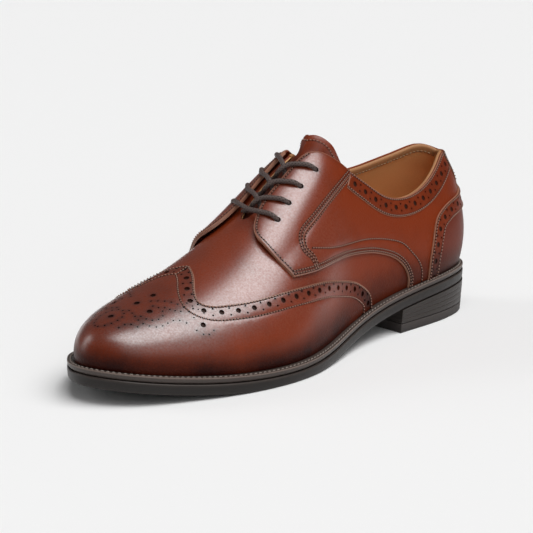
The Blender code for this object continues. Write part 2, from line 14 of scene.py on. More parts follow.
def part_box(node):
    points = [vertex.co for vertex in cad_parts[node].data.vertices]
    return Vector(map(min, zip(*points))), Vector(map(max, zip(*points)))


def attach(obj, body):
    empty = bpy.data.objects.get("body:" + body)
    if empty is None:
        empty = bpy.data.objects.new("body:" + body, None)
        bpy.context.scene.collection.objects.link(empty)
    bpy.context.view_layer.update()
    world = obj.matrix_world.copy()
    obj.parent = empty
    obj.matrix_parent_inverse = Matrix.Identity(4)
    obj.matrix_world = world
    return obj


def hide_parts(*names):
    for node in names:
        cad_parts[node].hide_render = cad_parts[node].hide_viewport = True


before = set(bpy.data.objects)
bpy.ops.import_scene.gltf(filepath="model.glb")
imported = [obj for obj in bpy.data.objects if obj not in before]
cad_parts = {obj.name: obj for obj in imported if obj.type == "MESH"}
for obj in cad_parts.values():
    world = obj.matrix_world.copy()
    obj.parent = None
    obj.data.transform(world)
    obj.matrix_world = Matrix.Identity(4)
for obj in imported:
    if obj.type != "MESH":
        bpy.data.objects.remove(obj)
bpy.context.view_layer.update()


def dress(piece, slot, *nodes):
    """A new piece moves with the root, and the CAD nodes that it stands for are hidden. The slot is not used.
    """
    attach(piece, "root")
    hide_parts(*nodes)


scene = bpy.context.scene
MM = 0.001

# %% [markdown]
# ## Camera
# The photograph was taken with a long lens from in front of the outer side. A long lens flattens the
# perspective, so the camera stands about a metre away and looks slightly down.

# %% Camera
TARGET = Vector((0.01514, 0.00053, 0.04884))
CAMERA_FROM = 1.0404
CAMERA_ROUND, CAMERA_UP = np.radians(48.108), np.radians(13.168)
LENS = 126.03

camera = bpy.data.objects.new("camera", bpy.data.cameras.new("camera"))
camera.data.lens = LENS
camera.data.sensor_width = 36.0
away = Vector((np.sin(CAMERA_ROUND) * np.cos(CAMERA_UP), np.cos(CAMERA_ROUND) * np.cos(CAMERA_UP),
               np.sin(CAMERA_UP)))
camera.location = TARGET + away * CAMERA_FROM
camera.rotation_euler = (-away).to_track_quat("-Z", "Y").to_euler()
scene.collection.objects.link(camera)
scene.camera = camera
scene.view_settings.view_transform = "Standard"

# %% [markdown]
# ## Studio
# The shoe stands on pale seamless paper. Lights that hang near the paper would leave a bright pool on it,
# so the soft boxes are painted on the sky instead, infinitely far away: each is a rectangle of directions
# with soft borders. A wide one overhead draws the long highlights on the toe, the vamp and the facing.

# %% Studio
SKY = 0.09   # radiance of the plain sky
SOFT_BOXES = (
    # aim, half width, half height, border, radiance
    ((-0.08, 0.37, 0.93), 0.40, 0.19, 0.30, 4.75),
    ((0.50, -0.80, 0.26), 0.12, 0.40, 0.16, 2.2),
    ((0.30, 0.85, 0.55), 0.30, 0.22, 0.30, 1.0),
)


def link(tree, source, target):
    tree.links.new(source, target)


def feed(tree, value, socket):
    """Gives a socket its value: a link where that is another socket, or else the plain value."""
    if hasattr(value, "is_output"):
        link(tree, value, socket)
    else:
        socket.default_value = value


def node(tree, kind, **settings):
    """New node; in_Some_Name sets the input Some Name, and other names are the node's own settings."""
    made = tree.nodes.new(kind)
    for key, value in settings.items():
        if key.startswith("in_"):
            made.inputs[key[3:].replace("_", " ")].default_value = value
        else:
            setattr(made, key, value)
    return made


def maths(tree, operation, a, b=None, clamp=False):
    """Result of a Math node; each input is a socket or a plain number."""
    made = node(tree, "ShaderNodeMath", operation=operation, use_clamp=clamp)
    feed(tree, a, made.inputs[0])
    if b is not None:
        feed(tree, b, made.inputs[1])
    return made.outputs[0]


def dot_with(direction, axis):
    """How far the looking direction points along an axis: their dot product."""
    made = node(sky, "ShaderNodeVectorMath", operation="DOT_PRODUCT")
    link(sky, direction, made.inputs[0])
    made.inputs[1].default_value = axis
    return made.outputs["Value"]


def soft_side(distance, half, border):
    """1 well inside a soft box's side, 0 outside it, smooth over its border."""
    made = node(sky, "ShaderNodeMapRange", interpolation_type="SMOOTHSTEP", in_From_Min=half,
                in_From_Max=half + border, in_To_Min=1.0, in_To_Max=0.0)
    link(sky, maths(sky, "ABSOLUTE", distance), made.inputs["Value"])
    return made.outputs["Result"]


world = bpy.data.worlds.new("studio")
world.use_nodes = True
sky = world.node_tree
looking = sky.nodes.new("ShaderNodeTexCoord").outputs["Generated"]
radiance = SKY
for aim, half_width, half_height, border, power in SOFT_BOXES:
    axis = Vector(aim).normalized()
    sideways = axis.cross(Vector((0, 1, 0)) if aim[2] > 0.9 else Vector((0, 0, 1))).normalized()
    depth = maths(sky, "MAXIMUM", dot_with(looking, axis), 0.001)
    wide, high = (maths(sky, "DIVIDE", dot_with(looking, way), depth)
                  for way in (sideways, sideways.cross(axis)))
    mask = maths(sky, "MULTIPLY", soft_side(wide, half_width, border), soft_side(high, half_height, border))
    facing = maths(sky, "GREATER_THAN", dot_with(looking, axis), 0.05)
    glow = maths(sky, "MULTIPLY", maths(sky, "MULTIPLY", mask, facing), power)
    radiance = maths(sky, "ADD", glow, radiance)
sky.nodes["Background"].inputs["Color"].default_value = (1.0, 1.0, 1.0, 1.0)
sky.links.new(radiance, sky.nodes["Background"].inputs["Strength"])
scene.world = world

FLOOR_SIDE = 14.0
floor_mesh = bpy.data.meshes.new("floor")
floor_mesh.from_pydata([(x * FLOOR_SIDE / 2, y * FLOOR_SIDE / 2, 0.0) for x, y in
                        ((-1, -1), (1, -1), (1, 1), (-1, 1))], [], [(0, 1, 2, 3)])
floor = bpy.data.objects.new("floor", floor_mesh)
scene.collection.objects.link(floor)

# %% [markdown]
# ## The last
# A point on the last has two shares: round goes from the back of the heel (0) by the outer side to the
# tip of the toe (1) and home by the inner side (2), and up goes from the sole (0) to the ridge (1).
# At each share round, the surface is a cubic rib with its own bulge. These are the same sizes and tables
# as those of the CAD, so a piece that is cut here fits the solids.

# %% Sizes of the last
LAST_LENGTH, BALL_WIDTH, INSTEP = 0.296, 0.100, 0.100
HEEL_PITCH, TOE_SPRING = 0.0197, 0.0094
OUTSOLE, WELT_THICK, WELT_WIDTH, WELT_RIM = 0.0064, 0.0032, 0.0045, 0.0070
HEEL_LENGTH, HEEL_TAPER, BREAST_HOLLOW, TOP_LIFT = 0.0815, 0.0012, 0.0030, 0.0056
INSOLE = 0.0026
LINED_WALL, OVERLAY, LAYER_GAP, SEAT = 0.0017, 0.0010, 0.00045, 0.0003
FACING_RISE = 0.0028
EYELET_RADIUS, LACE_RADIUS = 0.0021, 0.0013
STACK = OUTSOLE + WELT_THICK
STATIONS = (
    # outer x, outer y, inner x, inner y, crest x, crest y, bulge, rise, reach, drop
    (0.003, 0.000, 0.003, 0.000, 0.033, 0.000, 0.084, 0.273, 0.190, 0.564),
    (0.028, 0.188, 0.028, -0.183, 0.052, 0.030, 0.077, 0.273, 0.190, 0.564),
    (0.096, 0.287, 0.096, -0.282, 0.096, 0.040, 0.063, 0.298, 0.172, 0.546),
    (0.210, 0.315, 0.215, -0.295, 0.220, 0.035, 0.054, 0.322, 0.172, 0.471),
    (0.350, 0.319, 0.370, -0.264, 0.330, 0.015, 0.045, 0.347, 0.200, 0.198),
    (0.470, 0.378, 0.500, -0.330, 0.420, 0.000, 0.045, 0.322, 0.240, 0.000),
    (0.585, 0.468, 0.610, -0.440, 0.540, 0.000, 0.044, 0.254, 0.280, 0.000),
    (0.680, 0.488, 0.710, -0.500, 0.650, 0.000, 0.044, 0.223, 0.300, 0.000),
    (0.790, 0.425, 0.805, -0.468, 0.770, 0.000, 0.040, 0.205, 0.280, 0.000),
    (0.887, 0.310, 0.890, -0.405, 0.850, 0.000, 0.028, 0.213, 0.200, 0.000),
    (0.970, 0.150, 0.962, -0.245, 0.888, 0.000, 0.025, 0.217, 0.120, 0.000),
    (1.000, -0.055, 1.000, -0.055, 0.897, 0.000, 0.025, 0.217, 0.100, 0.000),
)
CREST_SPLIT = (0.30, 0.40)
BOTTOM = (
    # share of length, share of heel pitch, share of toe spring
    (-0.05, 1.008, 0.00), (0.00, 1.000, 0.00), (0.12, 0.942, 0.00), (0.25, 0.774, 0.00),
    (0.38, 0.475, 0.00), (0.50, 0.150, 0.00), (0.60, 0.003, 0.00), (0.70, -0.018, 0.00),
    (0.82, 0.000, 0.165), (0.92, 0.000, 0.570), (1.00, 0.000, 0.995), (1.05, 0.000, 1.260),
)
CREST = (
    # share of length, share of instep over the bottom, share of width to the side
    (-0.10, 0.881, 0.000), (0.05, 0.938, 0.000), (0.20, 1.000, 0.000), (0.30, 1.023, 0.000),
    (0.375, 1.016, 0.000), (0.45, 0.972, -0.002), (0.54, 0.842, -0.006), (0.65, 0.629, -0.015),
    (0.77, 0.465, -0.031), (0.86, 0.354, -0.044), (0.93, 0.265, -0.051), (1.00, 0.164, -0.055),
)
WELT = ((0.00, 0.80), (0.20, 0.72), (0.40, 0.82), (0.60, 1.00), (0.80, 1.02), (0.93, 0.92), (1.00, 0.76))
FACING_SWELL = ((0.40, 0.12), (0.50, 0.25))


# %% [markdown]
# ## Splines
# The tables hold a few rows each. A cubic spline joins them without a kink, as a bent batten does
# when a boat's lines are drawn.


# %% Splines
def spline(t, y, q, closed=False):
    """Cubic spline: each span is the cubic whose bends match at the knots, found by one linear solve."""
    t, y, q = np.asarray(t, float), np.asarray(y, float), np.asarray(q, float)
    h = np.diff(t)
    n = len(t) - 1 if closed else len(t)
    a = np.zeros((n, n)) if closed else np.eye(n)
    r = np.zeros((n,) + y.shape[1:])
    for i in range(0 if closed else 1, n if closed else n - 1):
        before = y[i - 1] if i else y[n - 1]
        a[i, i - 1], a[i, i], a[i, (i + 1) % n] = h[i - 1], 2 * (h[i - 1] + h[i]), h[i]
        r[i] = 6 * ((y[i + 1] - y[i]) / h[i] - (y[i] - before) / h[i - 1])
    bend = np.linalg.solve(a, r)
    bend = np.concatenate([bend, bend[:1]]) if closed else bend
    i = np.clip(np.searchsorted(t, q, side="right") - 1, 0, len(t) - 2)
    step = (Ellipsis,) + (None,) * (y.ndim - 1)
    h = (t[i + 1] - t[i])[step]
    b = (q - t[i])[step] / h
    a = 1 - b
    return a * y[i] + b * y[i + 1] + ((a**3 - a) * bend[i] + (b**3 - b) * bend[i + 1]) * h * h / 6


def run_length(p):
    """Length along a row of points, at each of them."""
    return np.concatenate([[0.0], np.cumsum(np.linalg.norm(np.diff(p, axis=0), axis=1))])


def smooth(x):
    """0 below 0, 1 above 1, and 3x² - 2x³ in between."""
    x = np.clip(x, 0.0, 1.0)
    return x * x * (3 - 2 * x)


def unit(v):
    return v / np.linalg.norm(v, axis=-1, keepdims=True)


# %% [markdown]
# ## The last's surface
# The feather line, the ridge and the ribs between them come from the tables. One function gives the
# point at any pair of shares, and every piece of leather is laid out with it.


# %% Surface of the last
def bottom(x):
    """Height of the feather line, where the upper meets the welt."""
    k = np.array(BOTTOM)
    return STACK + spline(k[:, 0] * LAST_LENGTH, k[:, 1] * HEEL_PITCH + k[:, 2] * TOE_SPRING, x)


def crest(x):
    """Height and side shift of the ridge over x."""
    k = np.array(CREST)
    ridge = spline(k[:, 0] * LAST_LENGTH, k[:, 1:] * (INSTEP, BALL_WIDTH), x)
    return bottom(x) + ridge[..., 0], ridge[..., 1]


def station_rows():
    """Rows of the last round its whole outline, with the share round at which each stands."""
    s = np.array(STATIONS)
    size = np.array((LAST_LENGTH, BALL_WIDTH) * 2 + (BALL_WIDTH, INSTEP) * 2)
    outer = s[:, (0, 1, 4, 5, 6, 7, 8, 9)] * size
    inner = s[:, (2, 3, 4, 5, 6, 7, 8, 9)] * size * (1, 1, 1, -1, 1, 1, 1, 1)
    step = sum(np.linalg.norm(np.diff(side[:, :2], axis=0), axis=1) for side in (outer, inner))
    t = np.concatenate([[0.0], np.cumsum(step)]) / step.sum()
    return np.concatenate([t, 2 - t[-2::-1]]), np.concatenate([outer, inner[-2::-1]])


KNOTS, ROWS = station_rows()


def outline(t):
    """Feather line and its outward direction in plan."""
    e = 1e-5
    p = spline(KNOTS, ROWS[:, :2], t % 2.0, True)
    d = spline(KNOTS, ROWS[:, :2], (t + e) % 2.0, True) - spline(KNOTS, ROWS[:, :2], (t - e) % 2.0, True)
    return p, unit(np.stack([-d[..., 1], d[..., 0]], -1))


def welt_beyond(t):
    """How far the welt reaches beyond the feather line."""
    k = np.array(WELT)
    return spline(k[:, 0], k[:, 1], outline(t)[0][..., 0] / LAST_LENGTH) * WELT_WIDTH


dense = np.linspace(0.0, 2.0, 2001)
plan, plan_out = outline(dense)
rim = plan + plan_out * welt_beyond(dense)[:, None]
# The CAD model stands centred over the origin: the heel breast and the welt's sides give its shift.
SHIFT = np.array((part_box("heel_stack")[1].x - HEEL_LENGTH, -(rim[:, 1].min() + rim[:, 1].max()) / 2, 0.0))
print("last moved by (mm)", np.round(SHIFT / MM, 3))


def last(t, v):
    """Rib at share t: (1-v)³ foot + 3(1-v)²v bulge + 3(1-v)v² reach + v³ ridge, in the CAD's frame."""
    t, v = np.broadcast_arrays(np.asarray(t, float), np.asarray(v, float))
    foot, n = outline(t)
    cx, cy, bulge, rise, reach, drop = np.moveaxis(spline(KNOTS, ROWS[:, 2:], t % 2.0, True), -1, 0)
    start, end = (share * LAST_LENGTH for share in CREST_SPLIT)
    top, middle = crest(cx)
    p0 = np.concatenate([foot, bottom(foot[..., 0])[..., None]], -1)
    p3 = np.stack([cx, cy * (1 - smooth((cx - start) / (end - start))) + middle, top], -1)
    p1 = p0 + np.concatenate([n * bulge[..., None], rise[..., None]], -1)
    q = p3[..., :2] + unit(p0[..., :2] - p3[..., :2]) * reach[..., None]
    p2 = np.concatenate([q, (crest(q[..., 0])[0] - drop)[..., None]], -1)
    v = v[..., None]
    return (1 - v)**3 * p0 + 3 * (1 - v)**2 * v * p1 + 3 * (1 - v) * v * v * p2 + v**3 * p3 + SHIFT


# %% [markdown]
# ## Layers over the last
# Leather lies on the last in layers. A layer is the last's surface moved out along its normal. The
# facing under the laces is padded, so it swells a little.


# %% Layers
def facing_out(t, v):
    """Outward unit normal of the last: the cross product of its two slopes, or straight up on the ridge."""
    t, v = np.broadcast_arrays(np.asarray(t, float), np.asarray(v, float))
    e = 1e-4
    w = np.clip(v, e, 0.998)
    n = unit(np.cross(last(t, w + e) - last(t, w - e), last(t + e, w) - last(t - e, w)))
    x = last(t, v)[..., 0] - SHIFT[0]
    slope = (crest(x + e)[0] - crest(x - e)[0]) / (2 * e)
    up = unit(np.stack([-slope, 0 * slope, 1 + 0 * slope], -1))
    blend = smooth((v - 0.985) / 0.015)[..., None] * (np.minimum(t, 2 - t) > 0.6)[..., None]
    return unit(n * (1 - blend) + up * blend)


HEEL_LEAN = 0.0022   # how far the top of the heel closes in round the ankle


def skin(q, depth):
    """The last moved out by depth at (round, up) points; the foot is cut level just over the welt."""
    t, v = q[..., 0], q[..., 1]
    back = np.abs((t + 1) % 2.0 - 1)
    lean = HEEL_LEAN * smooth((v - 0.69) / 0.14) * (1 - smooth(back / 0.16))
    depth = (np.broadcast_to(depth, t.shape) - lean)[..., None]
    p = last(t, v) + facing_out(t, v) * depth
    foot, n = outline(t)
    foot = foot + n * depth
    foot = np.concatenate([foot, (bottom(foot[..., 0]) + SEAT)[..., None]], -1) + SHIFT
    return np.where((v < 1e-6)[..., None], foot, p)


def facing_rise(q):
    """Extra height of the padded facing."""
    t = np.minimum(q[..., 0], 2 - q[..., 0])
    across = smooth((t - FACING_SWELL[0][0]) / FACING_SWELL[0][1])
    return FACING_RISE * across * smooth((q[..., 1] - FACING_SWELL[1][0]) / FACING_SWELL[1][1])


# %% [markdown]
# ## Lines on the last
# Seams, edges and rows of holes are curves in (round, up) shares. To lay something a set distance from
# an edge, the curve takes small steps sideways over the surface. To space things evenly, its length is
# measured on the last in metres.


# %% Curves on the surface
def curve(points, count=240):
    """Smooth curve through (round, up) points."""
    p = np.asarray(points, float)
    step = np.hypot(np.diff(p[:, 0]), np.diff(p[:, 1]) * 0.30)
    t = np.concatenate([[0.0], np.cumsum(step)])
    return spline(t, p, np.linspace(0, t[-1], count))


def join(*curves):
    return np.concatenate([curves[0]] + [c[1:] for c in curves[1:]])


def other_side(q):
    """The same shares on the inner side of the foot."""
    return np.stack([2 - q[..., 0], q[..., 1]], -1)


def span(q):
    """Length along a curve in metres, at each of its points."""
    return run_length(last(*q.T))


def even(q, gap):
    """Points along a curve, about gap metres apart."""
    s = span(q)
    u = np.linspace(0, s[-1], max(2, int(round(s[-1] / gap)) + 1))
    return np.stack([np.interp(u, s, q[:, 0]), np.interp(u, s, q[:, 1])], -1)


def part_of(q, start, end):
    """A stretch of a curve, from start to end in metres; a negative end counts from its end."""
    s = span(q)
    end = s[-1] + end if end <= 0 else end
    u = np.linspace(start, end, len(q))
    return np.stack([np.interp(u, s, q[:, 0]), np.interp(u, s, q[:, 1])], -1)


def slopes(q):
    """The last's change in metres for a whole share round and a whole share up."""
    e = 1e-4
    t, v = q[..., 0], q[..., 1]
    up = np.clip(v + e, 0, 1)
    down = np.clip(v - e, 0, 1)
    return (last(t + e, v) - last(t - e, v)) / (2 * e), (last(t, up) - last(t, down)) / (up - down)[..., None]


def share_of(q, move):
    """Shares that a small move in metres over the surface amounts to (least squares on both slopes)."""
    a, b = slopes(q)
    aa, ab, bb = (a * a).sum(-1), (a * b).sum(-1), (b * b).sum(-1)
    am, bm = (a * move).sum(-1), (b * move).sum(-1)
    det = aa * bb - ab * ab
    return np.stack([(bb * am - ab * bm) / det, (aa * bm - ab * am) / det], -1)


def sidestep(q, distance, stride=0.0012):
    """The curve moved sideways over the last; positive goes to the left of its way, seen from outside."""
    count = max(1, int(np.ceil(abs(distance) / stride)))
    for _ in range(count):
        along = unit(np.gradient(last(q[:, 0], q[:, 1]), axis=0))
        left = np.cross(facing_out(q[:, 0], q[:, 1]), along)
        q = q + share_of(q, left * distance / count)
        q = np.stack([q[:, 0], np.clip(q[:, 1], 0, 1)], -1)
    return q


def circle(q, radius, sides, turn=0.0):
    """Rings of points round each (round, up) point, round on the surface itself."""
    q = np.atleast_2d(q)
    a = unit(slopes(q)[0])
    b = np.cross(facing_out(q[:, 0], q[:, 1]), a)
    w = np.linspace(0, 2 * np.pi, sides, endpoint=False) + turn
    move = radius * (a[:, None] * np.cos(w)[:, None] + b[:, None] * np.sin(w)[:, None])
    return q[:, None] + share_of(np.repeat(q[:, None], sides, 1), move)


# %% [markdown]
# ## Leather panels with holes
# A panel is a border in (round, up) shares, with holes punched in it. Its points are the border, rings
# round each hole and an even lattice in between. A constrained Delaunay triangulation joins them without
# crossing a ring or the border, so that each hole is a true hole through the leather. The flat net is
# then laid on the last twice, as the grain side and the flesh side, and its open edges are closed.

# %% Flat nets
ROUND_SCALE, UP_SCALE = 0.33, 0.095   # rough size of a whole share, which makes the flat net even


def inside(points, border):
    """Even-odd rule: a point is inside where a ray from it crosses the border an odd number of times."""
    x, y = points[:, None, 0], points[:, None, 1]
    x0, y0 = border[:, 0], border[:, 1]
    x1, y1 = np.roll(x0, -1), np.roll(y0, -1)
    crossed = (y0 > y) != (y1 > y)
    at = x0 + (y - y0) * (x1 - x0) / np.where(y1 == y0, 1e-12, y1 - y0)
    return (crossed & (x < at)).sum(1) % 2 == 1


def nearest(p, others):
    """Distance from each point to the nearest of the others."""
    if not len(others):
        return np.full(len(p), 1.0)
    return np.concatenate([np.sqrt(((c[:, None] - others[None])**2).sum(-1).min(1))
                           for c in np.array_split(p, max(1, len(p) // 500))])


def distance_to(place, curves):
    """Distance from each point of the leather to the nearest of some curves, or 1 m without any."""
    return nearest(place, last(*np.concatenate(curves).T) if len(curves) else ())


def flat_net(border, rings, extra, gap):
    """Triangles over the border's inside, less the rings: (round, up) points and point numbers."""
    loops = [border] + list(rings)
    fixed = np.concatenate(loops)
    starts = np.cumsum([0] + [len(c) for c in loops])
    edges = [(s + i, s + (i + 1) % len(c)) for s, c in zip(starts, loops) for i in range(len(c))]
    low, high = border.min(0), border.max(0)
    rows = np.arange(low[1] + gap / UP_SCALE / 2, high[1], gap / UP_SCALE)
    cols = np.arange(low[0] + gap / ROUND_SCALE / 2, high[0], gap / ROUND_SCALE)
    lattice = np.stack(np.meshgrid(cols, rows, indexing="ij"), -1)
    lattice[:, ::2, 0] += gap / ROUND_SCALE / 2
    lattice = lattice.reshape(-1, 2)
    if len(extra):
        extra = extra[inside(extra, border)]
        extra = extra[nearest(last(*extra.T), last(*fixed.T)) > 0.00018]
        for ring in rings:
            extra = extra[~inside(extra, ring)]
    lattice = lattice[inside(lattice, border)]
    taken = np.concatenate([fixed, extra]) if len(extra) else fixed
    lattice = lattice[nearest(last(*lattice.T), last(*taken.T)) > gap * 0.55]
    points = np.concatenate([taken, lattice])
    scale = np.array((ROUND_SCALE, UP_SCALE))
    verts, _, faces, _, _, _ = delaunay_2d_cdt([Vector(p) for p in points * scale], edges, [], 0, 1e-7)
    net = np.array([v[:] for v in verts]) / scale
    tris = np.array(faces)
    middle = net[tris].mean(1)
    keep = inside(middle, border)
    for ring in rings:
        keep &= ~inside(middle, ring)
    return net, tris[keep]


# %% [markdown]
# ## Meshes
# Each piece is one mesh at the origin. Points that fall together are welded, which closes seams and
# poles, and its values for the shader are kept as attributes of its points.


# %% Meshes
def make_object(name, points, faces, look, sharp=38.0, attributes=None):
    """Mesh object at the origin from an array of points and lists of corners."""
    mesh = bpy.data.meshes.new(name)
    mesh.from_pydata(points.tolist(), [], faces if isinstance(faces, list) else faces.tolist())
    mesh.update()
    for key, values in (attributes or {}).items():
        mesh.attributes.new(key, "FLOAT", "POINT").data.foreach_set("value", values.astype(np.float32))
    mesh.shade_smooth()
    mesh.set_sharp_from_angle(angle=np.radians(sharp))
    mesh.materials.append(look)
    piece = bpy.data.objects.new(name, mesh)
    scene.collection.objects.link(piece)
    return piece


def weld(points, *arrays):
    """Merges points that fall together: kept points, the new number of each, and kept rows of arrays."""
    _, first, number = np.unique(np.round(points / 2e-6).astype(np.int64), axis=0, return_index=True,
                                 return_inverse=True)
    return points[first], number.reshape(-1), [a[first] for a in arrays]


# %% [markdown]
# ## Wax, burnish and painted shade
# Dark polish is rubbed in at the toe tip and round the heel, and the leather is darker by the sole, partly
# burnish and partly painted shade. Hard wax is rubbed up on the toe, the vamp and the facing. Both are worked
# out for each point from its shares.


# %% Wax, burnish and painted shade
def from_heel(q):
    """Share round from the back of the heel, the same on both sides."""
    return np.minimum(q[..., 0] % 2.0, 2 - q[..., 0] % 2.0)


def wax(q):
    """Share of hard wax: rubbed up on the toe, vamp and facing, little on the flanks, none by the sole."""
    t = from_heel(q)
    up = smooth((q[..., 1] - 0.08) / 0.28)
    front = smooth((t - 0.42) / 0.12)
    return up * (0.07 + 0.93 * front)


def burnish_and_shade(q):
    """Darkness on the leather: strong by the sole, where it is painted shade as well as burnish, and burnish
    at the toe tip and round the heel.
    """
    t = from_heel(q)
    foot = 1 - smooth((q[..., 1] - 0.03) / 0.22)
    back = 1 - smooth(t / 0.12)
    toe = smooth((t - 0.62) / 0.30)
    return (0.66 + 0.31 * smooth((t - 0.40) / 0.25)) * foot + (0.30 * back + 0.38 * toe) * (1 - foot)


# %% [markdown]
# ## A sheet of leather
# The net becomes a sheet with a grain side, a flesh side and a wall along every cut. Cut edges are rounded,
# darkened by polish and painted lighter at the very edge, partly as a painted highlight. Seams draw the
# leather in, and painted shade darkens it beside the seams and round the holes.


# %% Leather panels
FINE = 0.0008          # gap between points along cut edges and seams
SEAM_DEPTH = 0.00016   # how far a row of stitches pulls the leather in
EDGE_ROWS = (0.0003, 0.0008, 0.0016)      # rows of points beside a cut edge, which round it off
EDGE_ROUND, EDGE_POLISH = 0.0007, 0.005   # how far in from a cut edge it is rounded, and darker
SHADE_HALO = 0.0009          # how far painted shade reaches round a hole or a seam
HOLE_LIP = 0.0004      # ring of points beside a punched hole
FLOOR_REACH = 0.0002   # how far the painted shade disc under a hole reaches past it, under the leather
SHEET = 0.00005        # gap that keeps two sheets apart
shaded_hole_floors = []       # dark discs of painted shade at the bottom of the punched holes


def two_sided(outer, inner, tris):
    """Faces of a closed sheet: the grain side outward, the flesh side, and a wall along each open edge."""
    tris = tris[(tris[:, 0] != tris[:, 1]) & (tris[:, 1] != tris[:, 2]) & (tris[:, 2] != tris[:, 0])]
    corner = outer[tris]
    faces_out = np.cross(corner[:, 1] - corner[:, 0], corner[:, 2] - corner[:, 0])
    turn = (faces_out * (outer - inner)[tris].mean(1)).sum(1) < 0
    tris[turn] = tris[turn][:, ::-1]
    sides = np.concatenate([tris[:, (0, 1)], tris[:, (1, 2)], tris[:, (2, 0)]])
    n = len(outer)
    forward, backward = sides[:, 0] * n + sides[:, 1], sides[:, 1] * n + sides[:, 0]
    a, b = sides[~np.isin(forward, backward)].T
    walls = np.stack([b, a, a + n, b + n], -1)
    return tris.tolist() + (tris[:, ::-1] + n).tolist() + walls.tolist()


def leather_panel(name, border, look, out=0.0, thick=OVERLAY, holes=(), gap=0.0022, live=None,
                  tone=0.0, seams=(), edge_drop=0.00035, edge_dark=0.35, shade_in_holes=True):
    """Cut leather: border, holes and seams in shares, out its height over the last, live its cut edges."""
    live = border if live is None else live
    rings, halos = [], []
    for centres, radius, sides in holes:
        rings += list(circle(centres, radius, sides))
        halos.append(circle(centres, radius + HOLE_LIP, sides, np.pi / sides).reshape(-1, 2))
        # A dark disc under each hole is painted shade for the dark inside of the hole.
        if shade_in_holes:
            at = out(centres) if callable(out) else np.full(len(centres), float(out))
            shaded_hole_floors.append((circle(centres, radius + FLOOR_REACH, sides), at - thick - 0.00002))
    edge_rows = [sidestep(live, way * w) for way in (-1, 1) for w in EDGE_ROWS]
    seam_rows = [sidestep(even(line, FINE), w) for line in seams for w in (-FINE, 0.0, FINE)]
    net, tris = flat_net(border, rings, np.concatenate(halos + edge_rows + seam_rows), gap)
    place = last(*net.T)
    near, at_hole = distance_to(place, [live]), distance_to(place, rings)
    at_seam = distance_to(place, [even(c, FINE) for c in seams])
    height = out(net) if callable(out) else np.full(len(net), float(out))
    height = (height - edge_drop * (1 - smooth(near / EDGE_ROUND))
              - SEAM_DEPTH * (1 - smooth(at_seam / FINE)))
    outer, inner = skin(net, height), skin(net, height - thick)
    # Painted shade: darker beside the seams and round and inside the punched holes, and the tone darkens a
    # whole panel. Darkness by the sole is painted shade together with burnish; near a cut edge it is polish.
    shade = np.clip(tone + burnish_and_shade(net) + edge_dark * (1 - smooth(near / EDGE_POLISH))
                    + 0.55 * (1 - smooth(at_hole / SHADE_HALO)) + 0.55 * (1 - smooth(at_seam / SHADE_HALO)), 0, 1)
    # The edge value paints the leather lighter at its cut edge: the raw edge's colour, and a painted
    # highlight on the rounded edge.
    kept, number, (inner, *values) = weld(outer, inner, shade, 1 - smooth(near / FINE), wax(net))
    faces = two_sided(kept, inner, number[tris])
    attributes = {key: np.tile(value, 2) for key, value in zip(("shade", "edge", "wax"), values)}
    print(name, len(faces), "faces,", len(rings), "holes")
    return make_object(name, np.concatenate([kept, inner]), faces, look, attributes=attributes)


# %% [markdown]
# ## Stitches
# Each stitch is a short loop of thread that comes up through one hole and goes down through the next.
# One bent capsule of seven rings is worked out once and laid along each seam as one array.

# %% Stitches
STITCH_SIDES, STITCH_RINGS = 6, 7


def on_last(q, height):
    """A seam as points and outward directions, from a curve in shares and its height over the last."""
    lift = height(q) if callable(height) else height
    return skin(q, lift), facing_out(q[:, 0], q[:, 1])


def places_along(seam, outward, pitch, between=False):
    """Points, ways along and ways out at the middle of each stitch, or at both its ends."""
    s = run_length(seam)
    count = max(1, int(s[-1] / pitch))
    u = (np.arange(count + 1) if between else np.arange(count) + 0.5) * s[-1] / count
    return (np.stack([np.interp(u, s, c) for c in rows.T], -1)
            for rows in (seam, np.gradient(seam, axis=0), outward))


def stitches(lines, pitch, length, radius, proud):
    """Points and faces of stitches along seams; each seam is an array of points and one of directions."""
    along = np.linspace(-1, 1, STITCH_RINGS)
    thick = np.sqrt(np.clip(1 - (along * 0.97)**2, 0, 1))**0.5
    arch = proud + radius * 0.6 - (radius * 2.4) * along**4
    turn = np.linspace(0, 2 * np.pi, STITCH_SIDES, endpoint=False)
    grid = np.arange(STITCH_RINGS * STITCH_SIDES).reshape(STITCH_RINGS, STITCH_SIDES)
    nxt = np.roll(grid, -1, axis=1)
    quads = np.stack([grid[:-1], nxt[:-1], nxt[1:], grid[1:]], -1).reshape(-1, 4)
    caps = np.stack([grid[0, ::-1], grid[-1]])
    points, faces, start = [], [], 0
    for seam, outward in lines:
        p, tangent, up = places_along(seam, outward, pitch)
        count = len(p)
        side = unit(np.cross(up, tangent))
        tangent = unit(tangent)
        up = np.cross(tangent, side)
        line = p[:, None] + tangent[:, None] * (along * length / 2)[:, None] + up[:, None] * arch[:, None]
        ring = (side[:, None, None] * np.cos(turn)[:, None] + up[:, None, None] * np.sin(turn)[:, None])
        body = line[:, :, None] + ring * (thick * radius)[:, None, None]
        base = start + np.arange(count)[:, None, None] * grid.size
        faces += (quads[None] + base).reshape(-1, 4).tolist()
        faces += (caps[None] + base).reshape(-1, STITCH_SIDES).tolist()
        points.append(body.reshape(-1, 3))
        start += count * grid.size
    return np.concatenate(points), faces


